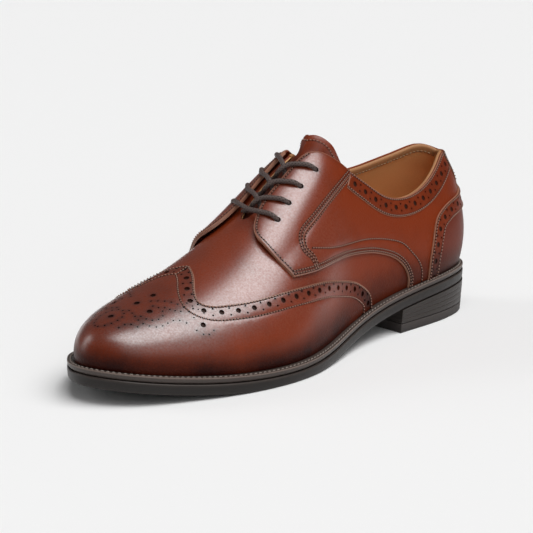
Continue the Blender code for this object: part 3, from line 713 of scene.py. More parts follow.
def painted_needle_discs(lines, pitch, radius, proud):
    """Small dark discs of painted shade where the thread goes in, between each stitch and the next."""
    turn = np.linspace(0, 2 * np.pi, STITCH_SIDES, endpoint=False)
    discs = []
    for seam, outward in lines:
        p, tangent, up = places_along(seam, outward, pitch, between=True)
        side = unit(np.cross(up, tangent))
        tangent = np.cross(side, up)
        ring = side[:, None] * np.cos(turn)[:, None] + tangent[:, None] * np.sin(turn)[:, None] * 0.7
        discs.append(p[:, None] + ring * radius + up[:, None] * proud)
    discs = np.concatenate(discs)
    numbers = np.arange(len(discs) * STITCH_SIDES).reshape(-1, STITCH_SIDES)
    return discs.reshape(-1, 3), numbers[:, ::-1]


def sew(name, lines, look, pitch=0.0019, length=0.00122, radius=0.00032, proud=0.00010):
    """One object of all the stitches along the given seams."""
    points, faces = stitches(lines, pitch, length, radius, proud)
    piece = make_object(name, points, faces, look, 60)
    print(name, len(faces), "faces")
    return piece


# %% [markdown]
# ## Shader helpers
# Two small steps come back in every material: a mix of two colours, and a height that tilts the normal.


# %% Shader helpers
def mix_colour(tree, factor, a, b):
    """Colour of a Mix node; each input is a socket or a plain value."""
    made = node(tree, "ShaderNodeMix", data_type="RGBA")
    for value, number in ((factor, 0), (a, 6), (b, 7)):
        feed(tree, value, made.inputs[number])
    return made.outputs[2]


def bump_into(tree, height, distance, strength, target):
    """Bump node from a height socket to a Normal socket; strength is a socket or a plain number."""
    bump = node(tree, "ShaderNodeBump", in_Distance=distance)
    feed(tree, strength, bump.inputs["Strength"])
    link(tree, height, bump.inputs["Height"])
    link(tree, bump.outputs["Normal"], target)


# %% [markdown]
# ## Finishes
# The leather is dyed aniline calf: a warm cognac that is darkened nearly black by the sole, partly burnish
# and partly painted shade, with fine pores, a soft mottled tone and a waxed coat. One node group makes the
# tone, the roughness, the pores and the wax's grain from the object's own coordinates and three attributes
# that the panels carry: shade, how dark polish and painted shade make a place, edge, how near the cut edge
# is, where the colour is lighter, partly as a painted highlight, and wax, how much of it is rubbed in.


# %% Leather group
def leather_group():
    """Colour, roughness, wax and normal of smooth calf from its position, shade, edge and wax."""
    g = bpy.data.node_groups.new("calf_leather", "ShaderNodeTree")
    for way, kind, names in (("INPUT", "Color", ("Light", "Dark", "Edge")),
                             ("INPUT", "Float", ("Mottle", "Pores", "Polish")),
                             ("OUTPUT", "Color", ("Color",)), ("OUTPUT", "Float", ("Roughness", "Wax")),
                             ("OUTPUT", "Vector", ("Normal",))):
        for name in names:
            g.interface.new_socket(name, in_out=way, socket_type="NodeSocket" + kind)
    given, result = g.nodes.new("NodeGroupInput"), g.nodes.new("NodeGroupOutput")
    place = node(g, "ShaderNodeTexCoord").outputs["Object"]
    cloud = node(g, "ShaderNodeTexNoise", in_Scale=34.0, in_Detail=4.0, in_Roughness=0.55)
    fine = node(g, "ShaderNodeTexNoise", in_Scale=950.0, in_Detail=3.0, in_Roughness=0.65)
    pores = node(g, "ShaderNodeTexVoronoi", feature="F1", in_Scale=1100.0)
    for texture in (cloud, fine, pores):
        link(g, place, texture.inputs["Vector"])
    shade, edge, waxed = (node(g, "ShaderNodeAttribute", attribute_name=name).outputs["Fac"]
                          for name in ("shade", "edge", "wax"))
    wave = maths(g, "SUBTRACT", cloud.outputs["Fac"], 0.5)
    wave = maths(g, "MULTIPLY", wave, given.outputs["Mottle"])
    speck = maths(g, "MULTIPLY", maths(g, "SUBTRACT", fine.outputs["Fac"], 0.5), 0.30)
    dark = maths(g, "ADD", maths(g, "ADD", shade, wave), speck, clamp=True)
    colour = mix_colour(g, dark, given.outputs["Light"], given.outputs["Dark"])
    # Lighter near the cut edge: the raw edge's colour, and a painted highlight where the rounded edge catches
    # the light.
    colour = mix_colour(g, maths(g, "MULTIPLY", edge, 0.75), colour, given.outputs["Edge"])
    link(g, colour, result.inputs["Color"])
    rough = maths(g, "ADD", maths(g, "MULTIPLY", fine.outputs["Fac"], 0.16), given.outputs["Polish"])
    link(g, rough, result.inputs["Roughness"])
    grain = maths(g, "ADD", 0.15, maths(g, "MULTIPLY", fine.outputs["Fac"], 1.7))
    uncut = maths(g, "SUBTRACT", 1.0, maths(g, "MULTIPLY", edge, 0.6))
    link(g, maths(g, "MULTIPLY", maths(g, "MULTIPLY", waxed, grain), uncut), result.inputs["Wax"])
    height = maths(g, "ADD", maths(g, "MULTIPLY", fine.outputs["Fac"], 0.6),
                   maths(g, "MULTIPLY", pores.outputs["Distance"], 0.7))
    bump_into(g, height, 0.00030, given.outputs["Pores"], result.inputs["Normal"])
    return g


CALF = leather_group()


# %% [markdown]
# ## Leather materials
# Each leather places the group with its own colours. What is the same all over a piece, such as the
# coat's roughness, is set on the shader itself.


# %% Leather materials
def new_material(name, **values):
    """Material with its Principled shader's own sockets set."""
    material = bpy.data.materials.new(name)
    material.use_nodes = True
    shader = material.node_tree.nodes["Principled BSDF"]
    for key, value in values.items():
        shader.inputs[key.replace("_", " ")].default_value = value
    return material, material.node_tree, shader


def leather(name, light, dark, edge, mottle=0.35, pores=0.25, polish=0.30, **values):
    """Material of smooth leather: the calf group with its own colours and values."""
    material, tree, shader = new_material(name, **values)
    group = node(tree, "ShaderNodeGroup", node_tree=CALF)
    values = ((*light, 1.0), (*dark, 1.0), (*edge, 1.0), mottle, pores, polish)
    for socket, value in zip(group.inputs, values):
        socket.default_value = value
    for socket, target in zip(group.outputs, ("Base Color", "Roughness", "Coat Weight", "Normal")):
        link(tree, socket, shader.inputs[target])
    return material


WAXED = {"pores": 0.45, "polish": 0.34, "Coat_Roughness": 0.28, "Coat_IOR": 1.9, "Specular_IOR_Level": 0.12}
cognac = leather("cognac_leather", (0.190, 0.026, 0.0045), (0.022, 0.0022, 0.0008), (0.40, 0.21, 0.14),
                 mottle=0.9, **WAXED)
dark_calf = leather("dark_leather", (0.125, 0.018, 0.006), (0.015, 0.0025, 0.001), (0.34, 0.15, 0.09),
                    mottle=0.6, **WAXED)
tan = leather("tan_lining", (0.76, 0.38, 0.15), (0.44, 0.19, 0.065), (0.72, 0.45, 0.23),
              mottle=0.5, pores=0.15, polish=0.50, Specular_IOR_Level=0.3)
binding_tan = leather("tan_binding", (0.42, 0.20, 0.085), (0.28, 0.125, 0.05), (0.50, 0.30, 0.16),
                      mottle=0.4, pores=0.15, polish=0.42, Specular_IOR_Level=0.3)


# %% [markdown]
# ## Sole edges
# The sole's edge is stained leather with layers along it, so a noise stretched in height draws its lines.


# %% Sole edges
def layered_edge(name, light, dark, lines, strength, rough, **values):
    """Stained edge of stacked leather: noise squeezed in height draws the layers."""
    material, tree, shader = new_material(name, **values)
    place = node(tree, "ShaderNodeTexCoord").outputs["Object"]
    squeeze = node(tree, "ShaderNodeMapping")
    squeeze.inputs["Scale"].default_value = (18.0, 18.0, lines)
    link(tree, place, squeeze.inputs["Vector"])
    layers = node(tree, "ShaderNodeTexNoise", in_Scale=1.0, in_Detail=5.0, in_Roughness=0.6)
    grit = node(tree, "ShaderNodeTexNoise", in_Scale=700.0, in_Detail=2.0)
    link(tree, squeeze.outputs["Vector"], layers.inputs["Vector"])
    link(tree, place, grit.inputs["Vector"])
    edge = node(tree, "ShaderNodeAttribute", attribute_name="edge").outputs["Fac"]
    colour = mix_colour(tree, layers.outputs["Fac"], (*dark, 1.0), (*light, 1.0))
    # Painted highlight: the edge tone mixes in a lighter colour along rounded edges.
    colour = mix_colour(tree, maths(tree, "MULTIPLY", edge, 0.75), colour,
                        tuple(min(1.0, c * 3.2) for c in light) + (1.0,))
    link(tree, colour, shader.inputs["Base Color"])
    wobble = maths(tree, "ADD", maths(tree, "MULTIPLY", grit.outputs["Fac"], 0.2), rough)
    link(tree, wobble, shader.inputs["Roughness"])
    height = maths(tree, "ADD", layers.outputs["Fac"], maths(tree, "MULTIPLY", grit.outputs["Fac"], 0.35))
    bump_into(tree, height, 0.0004, strength, shader.inputs["Normal"])
    return material


# %% [markdown]
# ## Thread
# Sewing thread is fine and waxed, so it only needs a colour that is darker between its fibres.


# %% Thread
def thread(name, colour, rough=0.55):
    """Material of sewing thread, a little darker between its fibres."""
    material, tree, shader = new_material(name, Specular_IOR_Level=0.2)
    place = node(tree, "ShaderNodeTexCoord").outputs["Object"]
    fibre = node(tree, "ShaderNodeTexNoise", in_Scale=1600.0, in_Detail=2.0)
    link(tree, place, fibre.inputs["Vector"])
    darker = tuple(c * 0.55 for c in colour)
    link(tree, mix_colour(tree, fibre.outputs["Fac"], (*darker, 1.0), (*colour, 1.0)),
         shader.inputs["Base Color"])
    shader.inputs["Roughness"].default_value = rough
    bump_into(tree, fibre.outputs["Fac"], 0.0001, 0.5, shader.inputs["Normal"])
    return material


# %% [markdown]
# ## Lace
# The lace is waxed cotton: waves along its own length and round it give the braid, with painted shade in the
# grooves between its strands.


# %% Lace cord
def lace_cord(name, light, dark):
    """Braid from the cord's own UV: two slanted waves cross, the higher one on top."""
    material, tree, shader = new_material(name, Specular_IOR_Level=0.35)
    uv = node(tree, "ShaderNodeUVMap", uv_map="run").outputs["UV"]
    apart = node(tree, "ShaderNodeSeparateXYZ")
    link(tree, uv, apart.inputs["Vector"])
    waves = []
    for way in (1.0, -1.0):
        slant = maths(tree, "ADD", apart.outputs["X"], maths(tree, "MULTIPLY", apart.outputs["Y"], way))
        waves.append(maths(tree, "SINE", maths(tree, "MULTIPLY", slant, 2 * np.pi)))
    height = maths(tree, "MAXIMUM", waves[0], waves[1])
    share = maths(tree, "MULTIPLY", maths(tree, "ADD", height, 1.0), 0.5, clamp=True)
    # Painted shade: the colour is dark where the braid is low, in the grooves between its strands.
    link(tree, mix_colour(tree, share, (*dark, 1.0), (*light, 1.0)), shader.inputs["Base Color"])
    link(tree, maths(tree, "SUBTRACT", 0.62, maths(tree, "MULTIPLY", share, 0.15)),
         shader.inputs["Roughness"])
    bump_into(tree, share, 0.00022, 0.8, shader.inputs["Normal"])
    return material


# %% [markdown]
# ## The other materials
# The sole, welt and heel are stained a dark brown, the rubber lift is black, and the paper is pale.

# %% Other materials
sole_edge = layered_edge("sole_edge", (0.015, 0.0105, 0.0085), (0.007, 0.005, 0.004), 500.0, 0.25, 0.34,
                         Specular_IOR_Level=0.35)
welt_top = layered_edge("welt_leather", (0.072, 0.053, 0.045), (0.034, 0.025, 0.021), 300.0, 0.15, 0.34,
                        Specular_IOR_Level=0.4)
heel_edge = layered_edge("heel_edge", (0.030, 0.022, 0.018), (0.007, 0.005, 0.0042), 900.0, 0.55, 0.36,
                         Specular_IOR_Level=0.35)
rubber = layered_edge("black_rubber", (0.030, 0.024, 0.022), (0.014, 0.011, 0.010), 120.0, 0.2, 0.48,
                      Specular_IOR_Level=0.35)
dark_thread = thread("dark_thread", (0.36, 0.20, 0.15), 0.45)
# Nearly black look for the needle's holes: painted shade.
needle_shade_look = thread("needle_shade_look", (0.010, 0.004, 0.003), 0.9)
pale_thread = thread("pale_thread", (0.46, 0.30, 0.17))
welt_thread = thread("welt_thread", (0.30, 0.25, 0.22))
lace_look = lace_cord("waxed_cord", (0.100, 0.070, 0.063), (0.024, 0.015, 0.013))
paper, paper_tree, paper_shader = new_material("paper", Base_Color=(0.86, 0.86, 0.86, 1.0), Roughness=0.9)
floor_mesh.materials.append(paper)

# %% [markdown]
# ## Edges of the pieces
# The wing cap, the open laced quarters and the counter have the curved edges of this pattern. Each is a few
# points, chosen from the photograph and smoothed.

# %% Pattern lines
TOPLINE = (
    # round, up on the outer side, up on the inner side
    (0.000, 0.827, 0.827), (0.040, 0.826, 0.844), (0.083, 0.811, 0.838), (0.133, 0.729, 0.797),
    (0.171, 0.654, 0.762), (0.209, 0.599, 0.725), (0.263, 0.559, 0.680), (0.313, 0.564, 0.665),
    (0.359, 0.612, 0.675), (0.401, 0.666, 0.700), (0.434, 0.732, 0.745), (0.462, 0.792, 0.797),
    (0.489, 0.859, 0.859), (0.507, 0.896, 0.896),
)
THROAT_END = 0.640
FACING_FRONT = ((0.507, 0.896), (0.520, 0.908), (0.540, 0.912), (0.579, 0.917), (0.613, 0.913),
                (0.633, 0.881), (0.645, 0.838), (0.648, 0.783))
FACING_NOSE = ((0.617, 0.476), (0.634, 0.597), (0.645, 0.713), (0.648, 0.783))
DERBY_EDGE = ((0.264, 0.000), (0.265, 0.058), (0.272, 0.113), (0.284, 0.163), (0.305, 0.213),
              (0.332, 0.248), (0.365, 0.275), (0.415, 0.302), (0.470, 0.333), (0.555, 0.398),
              (0.617, 0.476))
WING_SIDE = ((0.376, 0.000), (0.383, 0.078), (0.402, 0.135))
WING_EDGE = ((0.402, 0.135), (0.435, 0.195), (0.480, 0.250), (0.535, 0.320), (0.595, 0.392),
             (0.642, 0.444), (0.681, 0.481), (0.716, 0.514), (0.747, 0.551), (0.771, 0.594),
             (0.781, 0.649))
WING_PEAK = ((0.781, 0.649), (0.779, 0.712), (0.770, 0.790), (0.757, 0.872), (0.742, 1.000))
WING_FAR = ((0.781, 0.649), (0.776, 0.705), (0.763, 0.765), (0.752, 0.830), (0.746, 0.900),
            (0.742, 1.000))
COUNTER_TOP = ((0.000, 0.655), (0.049, 0.600), (0.090, 0.558), (0.123, 0.520), (0.150, 0.474),
               (0.169, 0.426))
COUNTER_FRONT = ((0.208, 0.000), (0.205, 0.145), (0.193, 0.276), (0.184, 0.351), (0.169, 0.426))
EYESTAY_SEAM = ((0.403, 0.661), (0.455, 0.613), (0.509, 0.594), (0.554, 0.595), (0.573, 0.584),
                (0.576, 0.548), (0.565, 0.485), (0.555, 0.398))
INNER_ROW = ((0.560, 0.506), (0.516, 0.431), (0.469, 0.383), (0.418, 0.361), (0.359, 0.343),
             (0.308, 0.318), (0.277, 0.283), (0.257, 0.223), (0.241, 0.165), (0.229, 0.083),
             (0.226, 0.010))
TONGUE_EDGE = ((0.670, 0.392), (0.740, 0.413), (0.820, 0.434), (0.910, 0.456), (1.000, 0.477))
TONGUE_FRONT = 0.690
EYELETS = ((0.607, 0.766), (0.578, 0.777), (0.547, 0.781), (0.508, 0.778))
INNER_EYELETS = ((0.598, 0.826), (0.568, 0.836), (0.538, 0.840), (0.504, 0.840))
BACK_SEAM = 0.0012   # where each quarter ends at the back, as a share round
SIDES = ((1, "outer", "quarter_lateral"), (2, "inner", "quarter_medial"))


def topline(side):
    """Points of the top edge on the outer side, 1, or the inner side, 2, both as seen on the outer."""
    return [(row[0], row[side]) for row in TOPLINE]


# %% [markdown]
# ## Vamp and lining
# Under the overlays lies one lined wall round the whole foot. Its grain side shows between the wing cap
# and the facings, and its tan flesh side shows in the collar. It is a grid of ribs: on each rib the
# points run from the feather line up to the collar or, in front of the throat, to the ridge.


# %% Lined wall
def opening(t, side):
    """Up share of the wall's top edge: the collar, the facing, then the rounded end of the throat."""
    k = np.array(TOPLINE)
    start, foot = k[-1, 0], k[-1, side]
    s = np.clip((t - start) / (THROAT_END - start), 0.0, 1.0)
    return np.where(t <= start, spline(k[:, 0], k[:, side], t), 1 - (1 - foot) * np.sqrt(1 - s * s))


def grid_faces(rows, cols, start=0, flip=False):
    """Corners of the quads of a grid of points."""
    n = start + np.arange(rows * cols).reshape(rows, cols)
    quads = np.stack([n[:-1, :-1], n[:-1, 1:], n[1:, 1:], n[1:, :-1]], -1).reshape(-1, 4)
    return quads[:, ::-1] if flip else quads


def shell_object(name, grids, look, attributes=None, sharp=38.0):
    """One object from grids of (points, attribute arrays, flip), welded where they meet."""
    points, faces, values, start = [], [], {}, 0
    for grid, given, flip in grids:
        faces.append(grid_faces(*grid.shape[:2], start, flip))
        points.append(grid.reshape(-1, 3))
        for key, value in given.items():
            values.setdefault(key, []).append(np.broadcast_to(value, grid.shape[:2]).reshape(-1))
        start += grid.shape[0] * grid.shape[1]
    points = np.concatenate(points)
    keys = list(values)
    kept, number, arrays = weld(points, *[np.concatenate(values[k]) for k in keys])
    faces = [list(dict.fromkeys(f)) for f in number[np.concatenate(faces)].tolist()]
    faces = [f for f in faces if len(f) > 2]
    piece = make_object(name, kept, faces, look, sharp, dict(zip(keys, arrays)))
    print(name, len(faces), "faces")
    return piece


def wall_grid(side, rows, columns):
    """(round, up) grid of the wall's half, its top row on the opening."""
    rear = np.linspace(0.0, TOPLINE[-1][0], columns)
    turn = TOPLINE[-1][0] + (THROAT_END - TOPLINE[-1][0]) * np.sin(np.linspace(0, np.pi / 2, 20))
    front = np.linspace(THROAT_END, 1.0, columns)
    t = np.concatenate([rear, turn[1:], front[1:]])
    top = np.where(t < THROAT_END, opening(np.minimum(t, THROAT_END), side), 1.0)
    q = np.stack([t[:, None] + 0 * rows, top[:, None] * rows], -1)
    return other_side(q) if side == 2 else q


WALL_OUT = -(OVERLAY + LAYER_GAP)
GRAIN_SHARE = 0.6    # share of the lined wall's thickness that is the vamp's leather
rows = np.linspace(0, 1, 50)
vamp_grids, lining_grids = [], []
for side in (1, 2):
    q = wall_grid(side, rows, 90)
    flip = side == 2
    face = skin(q, WALL_OUT)
    back = skin(q, WALL_OUT - LINED_WALL * GRAIN_SHARE)
    inner_back = skin(q, WALL_OUT - LINED_WALL)
    tone = {"shade": burnish_and_shade(q), "wax": wax(q)}
    vamp_grids += [(face, tone, flip), (back, tone, not flip),
                   (np.stack([face[:, 0], back[:, 0]]), {"shade": 1.0, "wax": 0.0}, not flip),
                   (np.stack([face[:, -1], back[:, -1]]), {"shade": 0.5, "wax": 0.0}, flip)]
    inner = skin(q, WALL_OUT - LINED_WALL * GRAIN_SHARE - SHEET)
    # Painted shade: the lining is darker towards its bottom, deep inside the shoe. Its top edge is painted
    # lighter, partly a painted highlight along the edge.
    lining_shade_and_edge = {"shade": 0.5 * (1 - smooth(q[..., 1] / 0.35)),
            "edge": smooth((q[..., 1] / np.maximum(q[:, -1:, 1], 0.01) - 0.96) / 0.04) * 0.6}
    lining_grids += [(inner, lining_shade_and_edge, flip), (inner_back, lining_shade_and_edge, not flip),
                     (np.stack([inner[:, 0], inner_back[:, 0]]), {"shade": 1.0, "edge": 0.0}, not flip),
                     (np.stack([inner[:, -1], inner_back[:, -1]]), {"shade": 0.0, "edge": 1.0}, flip)]
vamp = shell_object("vamp_leather", vamp_grids, cognac)
lining = shell_object("lining", lining_grids, tan)
dress(vamp, "cognac_leather", "upper")
dress(lining, "tan_lining", "upper")

# %% [markdown]
# ## Rows of punched holes
# Broguing is punched with two tools: large holes, and between each two of them a pair of pinholes. They
# are spaced evenly along a line that runs beside the edge.

# %% Rows of holes
HOLE, PINHOLE = 0.00148, 0.00056    # radii of the punches
HOLE_PITCH, PAIR_SPREAD = 0.0098, 0.0020
WING_BAND = (0.0010, 0.0042, 0.0090)   # first row of stitches, holes and second row, in from the edge


def border_even(*curves, gap=0.0016):
    """Closed border from curves end to end, as points about gap apart."""
    return np.concatenate([even(c, gap)[:-1] for c in curves])


def straight(a, b, count=120):
    """Straight line between two (round, up) points."""
    w = np.linspace(0, 1, count)[:, None]
    return np.array(a) * (1 - w) + np.array(b) * w


def both(q):
    """Points on the outer side and the same ones on the inner side."""
    return np.concatenate([q, other_side(q)])


def brogue_holes(line, inset, start, end):
    """Centres of the large holes and of the pinhole pairs between them, inset from a line."""
    middle = part_of(sidestep(line, inset), start, -end)
    large = even(middle, HOLE_PITCH)
    s = span(middle)
    share = (np.arange(len(large) - 1) + 0.5) / (len(large) - 1) * s[-1]
    sides = [sidestep(middle, way) for way in (-PAIR_SPREAD, PAIR_SPREAD)]
    small = [np.stack([np.interp(share, s, c) for c in side.T], -1) for side in sides]
    return large, np.concatenate(small)


# %% [markdown]
# ## Medallion
# On the toe, scrolls of pinholes curl round a few large holes. The pattern is drawn flat, as it was for
# the punch, and carried onto the last.


# %% Medallion
def from_plan(points):
    """(round, up) of points on the toe that are given in plan: Newton steps on the plan distance."""
    target = np.array(points, float) * MM
    target[:, 1] += crest(target[:, 0])[1]
    target += SHIFT[:2]
    q = np.tile((0.85, 0.7), (len(points), 1))
    for _ in range(30):
        a, b = slopes(q)
        gap = target - last(*q.T)[:, :2]
        det = a[:, 0] * b[:, 1] - a[:, 1] * b[:, 0]
        step = np.stack([(b[:, 1] * gap[:, 0] - b[:, 0] * gap[:, 1]) / det,
                         (a[:, 0] * gap[:, 1] - a[:, 1] * gap[:, 0]) / det], -1)
        q = q + np.clip(step, -0.04, 0.04)
        q[:, 0] = np.minimum(q[:, 0], 0.9999)
        q[:, 1] = np.clip(q[:, 1], 0.02, 0.985)
    return q


# Medallion: millimetres from the heel along the last and out from its ridge, on one side.
MEDALLION_MIDDLE = ((277.0, 0.8), (260.4, 2.3), (250.6, 4.2))
MEDALLION_HOLES = ((262.0, 13.6), (244.4, 34.2))
MEDALLION_SCROLLS = (
    ((286.4, 1.2), (284.0, 4.8), (280.4, 6.6), (276.0, 7.0), (271.8, 5.0), (269.6, 1.8)),
    ((268.0, 4.8), (269.2, 9.0), (270.8, 14.6), (270.6, 18.2), (268.4, 21.6), (263.8, 24.4), (258.8, 24.9),
     (255.0, 26.0), (251.6, 29.6)),
    ((257.8, 11.6), (256.6, 15.8), (258.4, 19.8), (262.6, 20.6), (266.4, 18.2), (268.0, 13.4)),
    ((255.2, 7.6), (252.0, 11.6), (249.6, 15.2), (247.6, 19.8), (246.6, 24.6), (246.4, 29.6)),
    ((254.4, 16.8), (252.8, 20.4), (249.8, 23.6)),
    ((249.0, 34.3), (245.4, 37.6), (240.6, 38.0)),
    ((281.4, 11.4), (277.2, 12.6), (274.2, 17.6)),
    ((243.6, 21.8), (242.0, 26.2), (240.2, 30.6)),
)
SCROLL_PITCH, SCROLL_HOLE = 0.0033, 0.00045


def scroll(points):
    """Evenly spaced points on a smooth line in plan, as shares."""
    k = np.array(points, float)
    s = run_length(k)
    n = max(2, int(round(s[-1] * MM / SCROLL_PITCH)))
    return from_plan(spline(s, k, np.linspace(0, s[-1], n + 1)))


# %% [markdown]
# ## Wing cap
# The toe cap runs back along both sides in two wings. Its border is the side cut, the long edge and the
# peak, and the same again on the inner side, where the peak's arm runs straighter. Holes follow the
# edge between two rows of stitches.

# %% Wing cap
wing_line = curve(WING_SIDE + WING_EDGE[1:] + WING_PEAK[1:], 700)
far_line = curve(WING_SIDE + WING_EDGE[1:] + WING_FAR[1:], 700)
crest_run = straight((WING_PEAK[-1][0], 1.0), (1.0, 1.0))
wing_border = border_even(wing_line, crest_run, other_side(crest_run)[::-1], other_side(far_line)[::-1],
                          straight((2 - WING_SIDE[0][0], 0.0), (WING_SIDE[0][0], 0.0), 700))
near_large, near_small = brogue_holes(wing_line, WING_BAND[1], start=0.005, end=0.003)
far_large, far_small = brogue_holes(far_line, WING_BAND[1], start=0.005, end=0.003)
toe_large = from_plan(MEDALLION_HOLES)
toe_middle = from_plan(MEDALLION_MIDDLE)
toe_small = np.concatenate([scroll(row) for row in MEDALLION_SCROLLS])
large_holes = np.concatenate([near_large, other_side(far_large), both(toe_large), toe_middle])
small_holes = np.concatenate([near_small, other_side(far_small)])
wing_live = np.concatenate([even(wing_line, FINE), even(other_side(far_line), FINE)])
wing_rows = [sidestep(wing_line, w) for w in WING_BAND[::2]]
wing_rows += [other_side(sidestep(far_line, w)) for w in WING_BAND[::2]]
wing = leather_panel("wing_cap_leather", wing_border, cognac, live=wing_live, seams=wing_rows,
                     holes=((large_holes, HOLE, 14), (small_holes, PINHOLE, 8),
                            (both(toe_small), SCROLL_HOLE, 7)))
dress(wing, "cognac_leather", "wing_cap")
dark_seams = [on_last(row, 0.0) for row in wing_rows]

# %% [markdown]
# ## Quarters and eyestays
# Each quarter lies over the vamp, open laced, with two rows of stitches along its lower edge and a
# curved single row above them. A thicker eyestay lies over it where the laces pull. Its back edge is
# folded and stands proud between its own double row and a third row on the quarter.

# %% Quarters
EYESTAY = 0.0008            # its thickness
DOUBLE = (0.0013, 0.0029)   # the two rows of a double seam, in from the edge
FACING_ROW = 0.0015         # the single row along the facing, in from its edge


def under_eyestay(q):
    """Height of the quarter's top over the last; it makes room for the eyestay on the facing."""
    return np.maximum(facing_rise(q) - EYESTAY, 0.0)


def eyestay_top(q):
    """Height of the eyestay's top over the last."""
    return np.maximum(facing_rise(q), EYESTAY)


derby, nose, front = curve(DERBY_EDGE), curve(FACING_NOSE), curve(FACING_FRONT)
seam = curve(EYESTAY_SEAM, 400)
for side, label, node_name in SIDES:
    turned = other_side if side == 2 else np.asarray
    top = curve(topline(side), 500)
    top = top[top[:, 0] > BACK_SEAM]
    back = straight((BACK_SEAM, top[0, 1]), (BACK_SEAM, 0.0))
    foot = straight((BACK_SEAM, 0.0), DERBY_EDGE[0])
    lace_holes = turned(np.array(EYELETS if side == 1 else INNER_EYELETS))
    border = turned(border_even(derby, nose, front[::-1], top[::-1], back, foot))
    live = turned(np.concatenate([even(c, FINE) for c in (derby, nose, front)]))
    low = derby[derby[:, 0] > EYESTAY_SEAM[-1][0]]
    rear_derby = derby[derby[:, 0] <= EYESTAY_SEAM[-1][0]]
    quarter_rows = [turned(sidestep(rear_derby, -w)) for w in DOUBLE]
    quarter_rows += [turned(curve(INNER_ROW, 300)), turned(part_of(sidestep(seam, 0.0011), 0.0, -0.004))]
    quarter = leather_panel("quarter_leather_" + label, border, cognac, out=under_eyestay, live=live,
                            seams=quarter_rows, holes=[(lace_holes, EYELET_RADIUS, 16)], shade_in_holes=False)
    dress(quarter, "cognac_leather", node_name)
    upper_run = top[top[:, 0] > EYESTAY_SEAM[0][0]]
    border = turned(border_even(seam, low, nose, front[::-1], upper_run[::-1]))
    eyestay_rows = [turned(part_of(sidestep(seam, -w), 0.001, -0.001)) for w in DOUBLE]
    eyestay_rows += [turned(sidestep(low, -w)) for w in DOUBLE]
    eyestay_rows.append(turned(part_of(sidestep(join(nose, front[::-1]), -FACING_ROW), 0.003, 0)))
    eyestay = leather_panel("eyestay_leather_" + label, border, cognac, out=eyestay_top, seams=eyestay_rows,
                            thick=EYESTAY - SHEET, holes=[(lace_holes, EYELET_RADIUS * 0.85, 16)],
                            shade_in_holes=False)
    dress(eyestay, "cognac_leather", node_name)
    dark_seams += [on_last(row, under_eyestay) for row in quarter_rows]
    dark_seams += [on_last(row, eyestay_top) for row in eyestay_rows]

# %% [markdown]
# ## Collar bands, counter and heel tab
# A perforated band follows the collar of each quarter. The counter wraps the heel, with a second perforated
# band along its front edge, and a small tab, darkened with a painted shadow, covers the back seam above it.

# %% Bands
BAND_THICK = 0.0005
COUNTER_OUT = 0.0007   # height of the counter's top over the last
COLLAR_BAND = (0.0011, 0.0056, 0.0104, 0.0113)   # first row, holes, second row and far edge
COUNTER_BAND = (0.0010, 0.0045, 0.0086, 0.0094)
HEEL_TAB = ((0.050, 0.590), (0.050, 0.650), (0.056, 0.710), (0.064, 0.765), (0.070, 0.818))


def strip_border(line, width):
    """Border of a band that follows a line: out along it and back a width to its side."""
    far = sidestep(line, width)
    ends = straight(line[-1], far[-1], 20), straight(far[0], line[0], 20)
    return border_even(line, ends[0], far[::-1], ends[1], gap=0.0014)


def perforated_band(name, line, places, top, turned, node_name, start=0.005, end=0.005):
    """Strip of leather along a line, with brogue holes and two rows of stitches."""
    large, small = brogue_holes(line, places[1], start=start, end=end)
    rows = [turned(sidestep(line, w)) for w in places[:3:2]]
    band = leather_panel(name, turned(strip_border(line, places[3])), cognac, out=top,
                         thick=BAND_THICK - SHEET, seams=rows, edge_dark=0.25,
                         holes=((turned(large), HOLE, 14), (turned(small), PINHOLE, 8)))
    dress(band, "cognac_leather", node_name)
    dark_seams.extend(on_last(row, top) for row in rows)


def round_back(q):
    """The inner side, counted below zero so that it joins the outer side at the heel."""
    return other_side(q) - (2.0, 0.0)


counter_line = curve(COUNTER_TOP + COUNTER_FRONT[::-1][1:], 500)
counter_border = border_even(round_back(counter_line)[::-1], counter_line,
                             straight((COUNTER_FRONT[0][0], 0.0), (-COUNTER_FRONT[0][0], 0.0), 400))
counter = leather_panel("counter_leather", counter_border, dark_calf, out=COUNTER_OUT,
                        thick=COUNTER_OUT - SHEET)
dress(counter, "dark_leather", "heel_counter")
counter_front = part_of(counter_line, 0.0008, 0)
for side, label, node_name in SIDES:
    top = curve(topline(side), 500)
    top = top[(top[:, 0] > HEEL_TAB[-1][0] + 0.002) & (top[:, 0] < EYESTAY_SEAM[0][0] + 0.002)]
    perforated_band("collar_band_" + label, top, COLLAR_BAND, BAND_THICK,
                    other_side if side == 2 else np.asarray, node_name)
    perforated_band("counter_band_" + label, counter_front, COUNTER_BAND, COUNTER_OUT + BAND_THICK,
                    round_back if side == 2 else np.asarray, "heel_counter", end=0.003)
tab_line = curve(HEEL_TAB, 160)
tab_top = curve(topline(1), 400)
tab_top = tab_top[tab_top[:, 0] < HEEL_TAB[-1][0] - 0.001]
tab_border = border_even(tab_line, tab_top[::-1], round_back(tab_top), round_back(tab_line)[::-1],
                         straight((-HEEL_TAB[0][0], HEEL_TAB[0][1]), HEEL_TAB[0]))
tab_rows = [sidestep(part_of(tab_line, 0.006, 0), -0.0010)]
tab_rows.append(round_back(tab_rows[0]))
# The tab's tone makes it nearly black: a painted shadow for the dark gap at the top of the heel.
heel_tab = leather_panel("heel_tab", tab_border, dark_calf, out=BAND_THICK, thick=BAND_THICK - SHEET,
                         seams=tab_rows, tone=0.45)
dress(heel_tab, "dark_leather", "quarter_lateral", "quarter_medial")
dark_seams += [on_last(row, BAND_THICK) for row in tab_rows]

# %% [markdown]
# ## Collar binding
# The lining is turned over the top edge of the collar as a soft roll. Its section is a few points across
# the edge, swept along both toplines.

